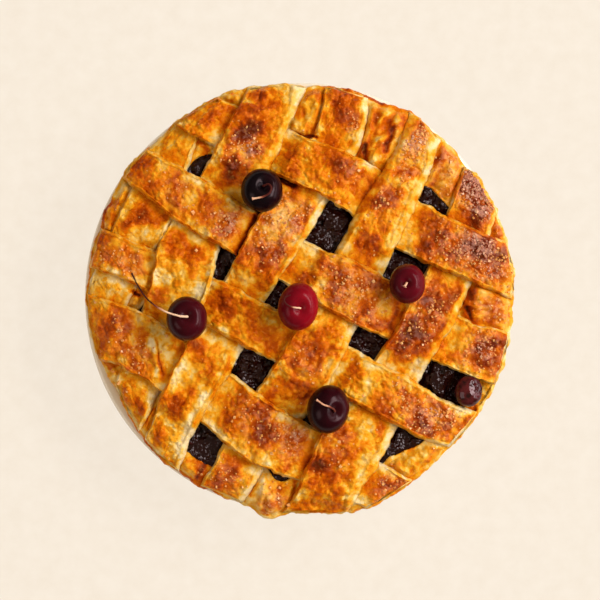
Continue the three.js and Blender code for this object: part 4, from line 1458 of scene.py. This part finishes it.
# %% Cooked cherry
COOKED_HALF, COOKED_TURN = (7.4, 8.4, 5.2), -8
SUNKEN_WAY, SUNKEN_AT, SUNKEN_SHARE = np.array([0.483, 0.129, 0.866]), 4.6, 0.6
FIRM_FRUIT = 1.3
cooked = leaned(cherry_shape(COOKED_HALF, 0, 120), COOKED_TURN, 0, 0)
sunken = np.maximum(0, cooked @ SUNKEN_WAY - SUNKEN_AT)[..., None]
cooked = cooked - SUNKEN_SHARE * sunken * SUNKEN_WAY
cooked = cooked + net_normals(cooked) * (0.3 * rough(cooked, 5, 2, 121))[..., None]
cooked = cooked + shift_to(cooked, "filling_cherry")
make_piece(
    "cooked_cherry", cooked, filling_gloss,
    marks={"fruit": np.full(cooked.shape[:2], FIRM_FRUIT)}, replaces=["filling_cherry"],
)

# %% [markdown]
# ## The stems
#
# A cherry stem is a thin dry twig, a little thicker where it was joined to the fruit and
# where it was joined to the tree. It is a tube of round rings along a smooth line. Each
# ring is turned as little as possible from the one before it, so the tube never twists.

# %% Finish of the stems
WOOD_COLORS = [
    (0.0, (0.07, 0.010, 0.008)), (0.4, (0.24, 0.060, 0.035)), (0.75, (0.66, 0.34, 0.22)),
    (1.0, (0.85, 0.62, 0.45)),
]


def stem_finish():
    """Dry wood, from dark red to pale, with a fine grain."""
    finish, tree, shader, place = new_finish("cherry_stem", Roughness=0.6, Specular_IOR_Level=0.12)
    fibre = centred(tree, grain(tree, place, 1.5, 3.0), 0.3)
    value = sums(tree, mark(tree, "pale"), fibre)
    join(tree, shader.inputs["Base Color"], colors(tree, value, WOOD_COLORS))
    bumped(tree, shader, grain(tree, place, 0.7, 2.0), 0.08)
    return finish


stem_wood = stem_finish()
print("stem finish with", len(stem_wood.node_tree.nodes), "nodes")

# %% Shape of a stem
STEM_STEPS, STEM_SIDES = 72, 12
STEM_RADIUS, JOINT_SWELLING, STEM_WANDER = 0.54, 0.3, 0.1


def stem_points(steps, thin, swelling):
    """Rings of points round a smooth line through the steps."""
    share = np.linspace(0, 1, STEM_STEPS)
    line, way = Route(steps).at(share)
    way = way / np.linalg.norm(way, axis=1, keepdims=True)
    joint, tip = np.exp(-((share / 0.1) ** 2)), np.exp(-(((1 - share) / 0.05) ** 2))
    radius = mix(STEM_RADIUS, thin, share) * (1 + JOINT_SWELLING * joint + swelling * tip)
    side = np.array([1.0, 0, 0])
    rings = []
    around = full_turn(STEM_SIDES)
    for centre, forward, thick in zip(line, way, radius):
        side = side - forward * (side @ forward)
        side = side / np.linalg.norm(side)
        other = np.cross(forward, side)
        ring = np.cos(around)[:, None] * side + np.sin(around)[:, None] * other
        rings.append(centre + thick * ring)
    return np.array(rings)


print("a stem is", STEM_STEPS, "rings of", STEM_SIDES, "points")

# %% Make the stems
# Steps from the bottom of the dimple; how pale it is at both ends and where that changes;
# its half width at the far end; how much the tip swells.
STEMS = {
    "stem_1": ([(0, 0, 0), (0, 0, 2.4), (2.6, 0.6, 4.0), (4.2, -1.0, 5.4), (3.0, -4.2, 5.8),
                (-1.0, -6.2, 6.0), (-6.0, -7.0, 5.8)], (-0.1, 0.8, 0.6), 0.5, 0.7),
    "stem_2": ([(0, 0, 0), (0, 0, 2.4), (-4, 0.4, 5.0), (-12, 3.2, 6.6), (-20, 8.6, 3.0),
                (-25.4, 15.4, -4.1), (-29.6, 22.8, -10.1)], (0.9, -0.15, 0.3), 0.36, 0.5),
    "stem_3": ([(0, 0, 0), (0, 0, 2.4), (-1.8, 0.2, 3.8), (-4.6, 0.8, 4.8), (-7.4, 2.4, 5.2),
                (-8.0, 5.2, 5.0), (-5.0, 7.0, 4.6)], (0.9, -0.15, 0.3), 0.24, 0.2),
    "stem_4": ([(0, 0, 0), (0, 0, 2.0), (0.1, 0.1, 3.4), (-0.4, -0.4, 4.6), (-1.2, -1.8, 5.2)],
               (0.55, 0.8, 0.4), 0.6, 1.1),
    "stem_5": ([(0, 0, 0), (0, 0, 2.2), (-0.6, 1.2, 3.6), (-3.2, 2.6, 5.6), (-6.2, 3.8, 6.4),
                (-9.6, 6.2, 6.8)], (0.15, 0.75, 0.35), 0.42, 0.8),
}
along = np.linspace(0, 1, STEM_STEPS)[:, None] * np.ones(STEM_SIDES)
for name, (steps, (near, far, change), thin, swelling) in STEMS.items():
    shape = stem_points(steps, thin, swelling) + dimples[name.replace("stem", "cherry")]
    wander = np.stack([swells(shape, 2.5, 130 + k) for k in range(3)], axis=-1)
    shape = shape + STEM_WANDER * wander
    pale = mix(near, far, ramp(change, change + 0.25, along))
    make_piece(
        name.replace("stem", "cherry_stem"), shape, stem_wood,
        marks={"pale": pale}, replaces=[name],
    )

# %% [markdown]
# ## The sugar
#
# Coarse sugar was strewn over the egg wash before baking. Its crystals are chips of half a
# millimetre to a millimetre, partly sunk in the glaze. Some melted into it and are amber,
# and those in dry heaps are browner and pinkish. Over two thousand separate objects would
# be slow, so all the crystals are one mesh: one small block of eight corners is copied,
# jittered, resized and turned in arrays, and put on points that were drawn by how thickly
# the sugar lies there.

# %% Finish of the sugar
GLAZED_SUGAR = [(0.0, (0.66, 0.22, 0.03)), (0.6, (0.80, 0.36, 0.10)), (1.0, (0.86, 0.47, 0.19))]
HEAPED_SUGAR = [(0.0, (0.46, 0.14, 0.08)), (0.6, (0.60, 0.28, 0.19)), (1.0, (0.72, 0.42, 0.30))]


def sugar_finish():
    """Small clear chips, amber in the glaze and pinkish in a heap."""
    finish, tree, shader, place = new_finish(
        "coarse_sugar", Roughness=0.25, Specular_IOR_Level=0.4,
        Subsurface_Weight=0.3, Subsurface_Scale=0.001, Subsurface_Radius=(1.0, 0.7, 0.5),
    )
    cloud = centred(tree, grain(tree, place, 1.0, 2.0), 0.3)
    value = sums(tree, mark(tree, "tone"), cloud)
    glazed, heaped = colors(tree, value, GLAZED_SUGAR), colors(tree, value, HEAPED_SUGAR)
    join(tree, shader.inputs["Base Color"], blend_colors(tree, mark(tree, "heap"), glazed, heaped))
    return finish


coarse_sugar = sugar_finish()
print("sugar finish with", len(coarse_sugar.node_tree.nodes), "nodes")

# %% One crystal
CRYSTALS, CRYSTAL_HALF = 2300, 0.36
SIZE_SPREAD, CORNER_JITTER, ASIDE, SUNK = 0.32, 0.35, 0.22, 0.35
TONES = 2.2, 1.6  # a few more crystals are light than dark
rng = np.random.default_rng(38)


def random_turns(count):
    """Turning matrices in every direction."""
    q = rng.normal(size=(count, 4))
    w, x, y, z = (q / np.linalg.norm(q, axis=1, keepdims=True)).T
    return np.stack([
        1 - 2 * (y * y + z * z), 2 * (x * y - z * w), 2 * (x * z + y * w),
        2 * (x * y + z * w), 1 - 2 * (x * x + z * z), 2 * (y * z - x * w),
        2 * (x * z - y * w), 2 * (y * z + x * w), 1 - 2 * (x * x + y * y),
    ], axis=-1).reshape(-1, 3, 3)


block = np.array(list(itertools.product((-1, 1), repeat=3)), float)
block_faces = np.array([
    (0, 1, 3, 2), (4, 6, 7, 5), (0, 4, 5, 1), (2, 3, 7, 6), (0, 2, 6, 4), (1, 5, 7, 3),
])
print("one crystal has", len(block), "corners and", len(block_faces), "faces")

# %% Strew the sugar
THICK_FIRST = 1.2  # above 1 the crystals gather where the sugar lies thickest
HEAP_FROM, HEAP_FULL = 0.45, 0.85
nets, facings, amounts = zip(*sprinkle_places)
place = np.concatenate([net.reshape(-1, 3) for net in nets])
facing = np.concatenate([net.reshape(-1, 3) for net in facings])
weight = np.clip(np.concatenate([net.ravel() for net in amounts]), 0, 1) ** THICK_FIRST
drawn = rng.choice(len(place), CRYSTALS, p=weight / weight.sum())
size = CRYSTAL_HALF * rng.lognormal(0, SIZE_SPREAD, (CRYSTALS, 1, 1))
chips = block + rng.uniform(-CORNER_JITTER, CORNER_JITTER, (CRYSTALS, *block.shape))
chips = np.einsum("nij,nkj->nki", random_turns(CRYSTALS), chips * size)
aside = rng.normal(0, ASIDE, (CRYSTALS, 3))
middle = place[drawn] + aside + facing[drawn] * size[:, 0] * -SUNK
chips = chips + middle[:, None]
first_corner = np.arange(CRYSTALS)[:, None, None] * len(block)
chip_faces = (first_corner + block_faces).reshape(-1, 4)
tone = np.repeat(rng.beta(*TONES, CRYSTALS), len(block))
heap = np.repeat(ramp(HEAP_FROM, HEAP_FULL, weight[drawn]), len(block))
make_piece(
    "sugar_crystals", chips, coarse_sugar, marks={"tone": tone, "heap": heap},
    faces=chip_faces, smooth=False,
)
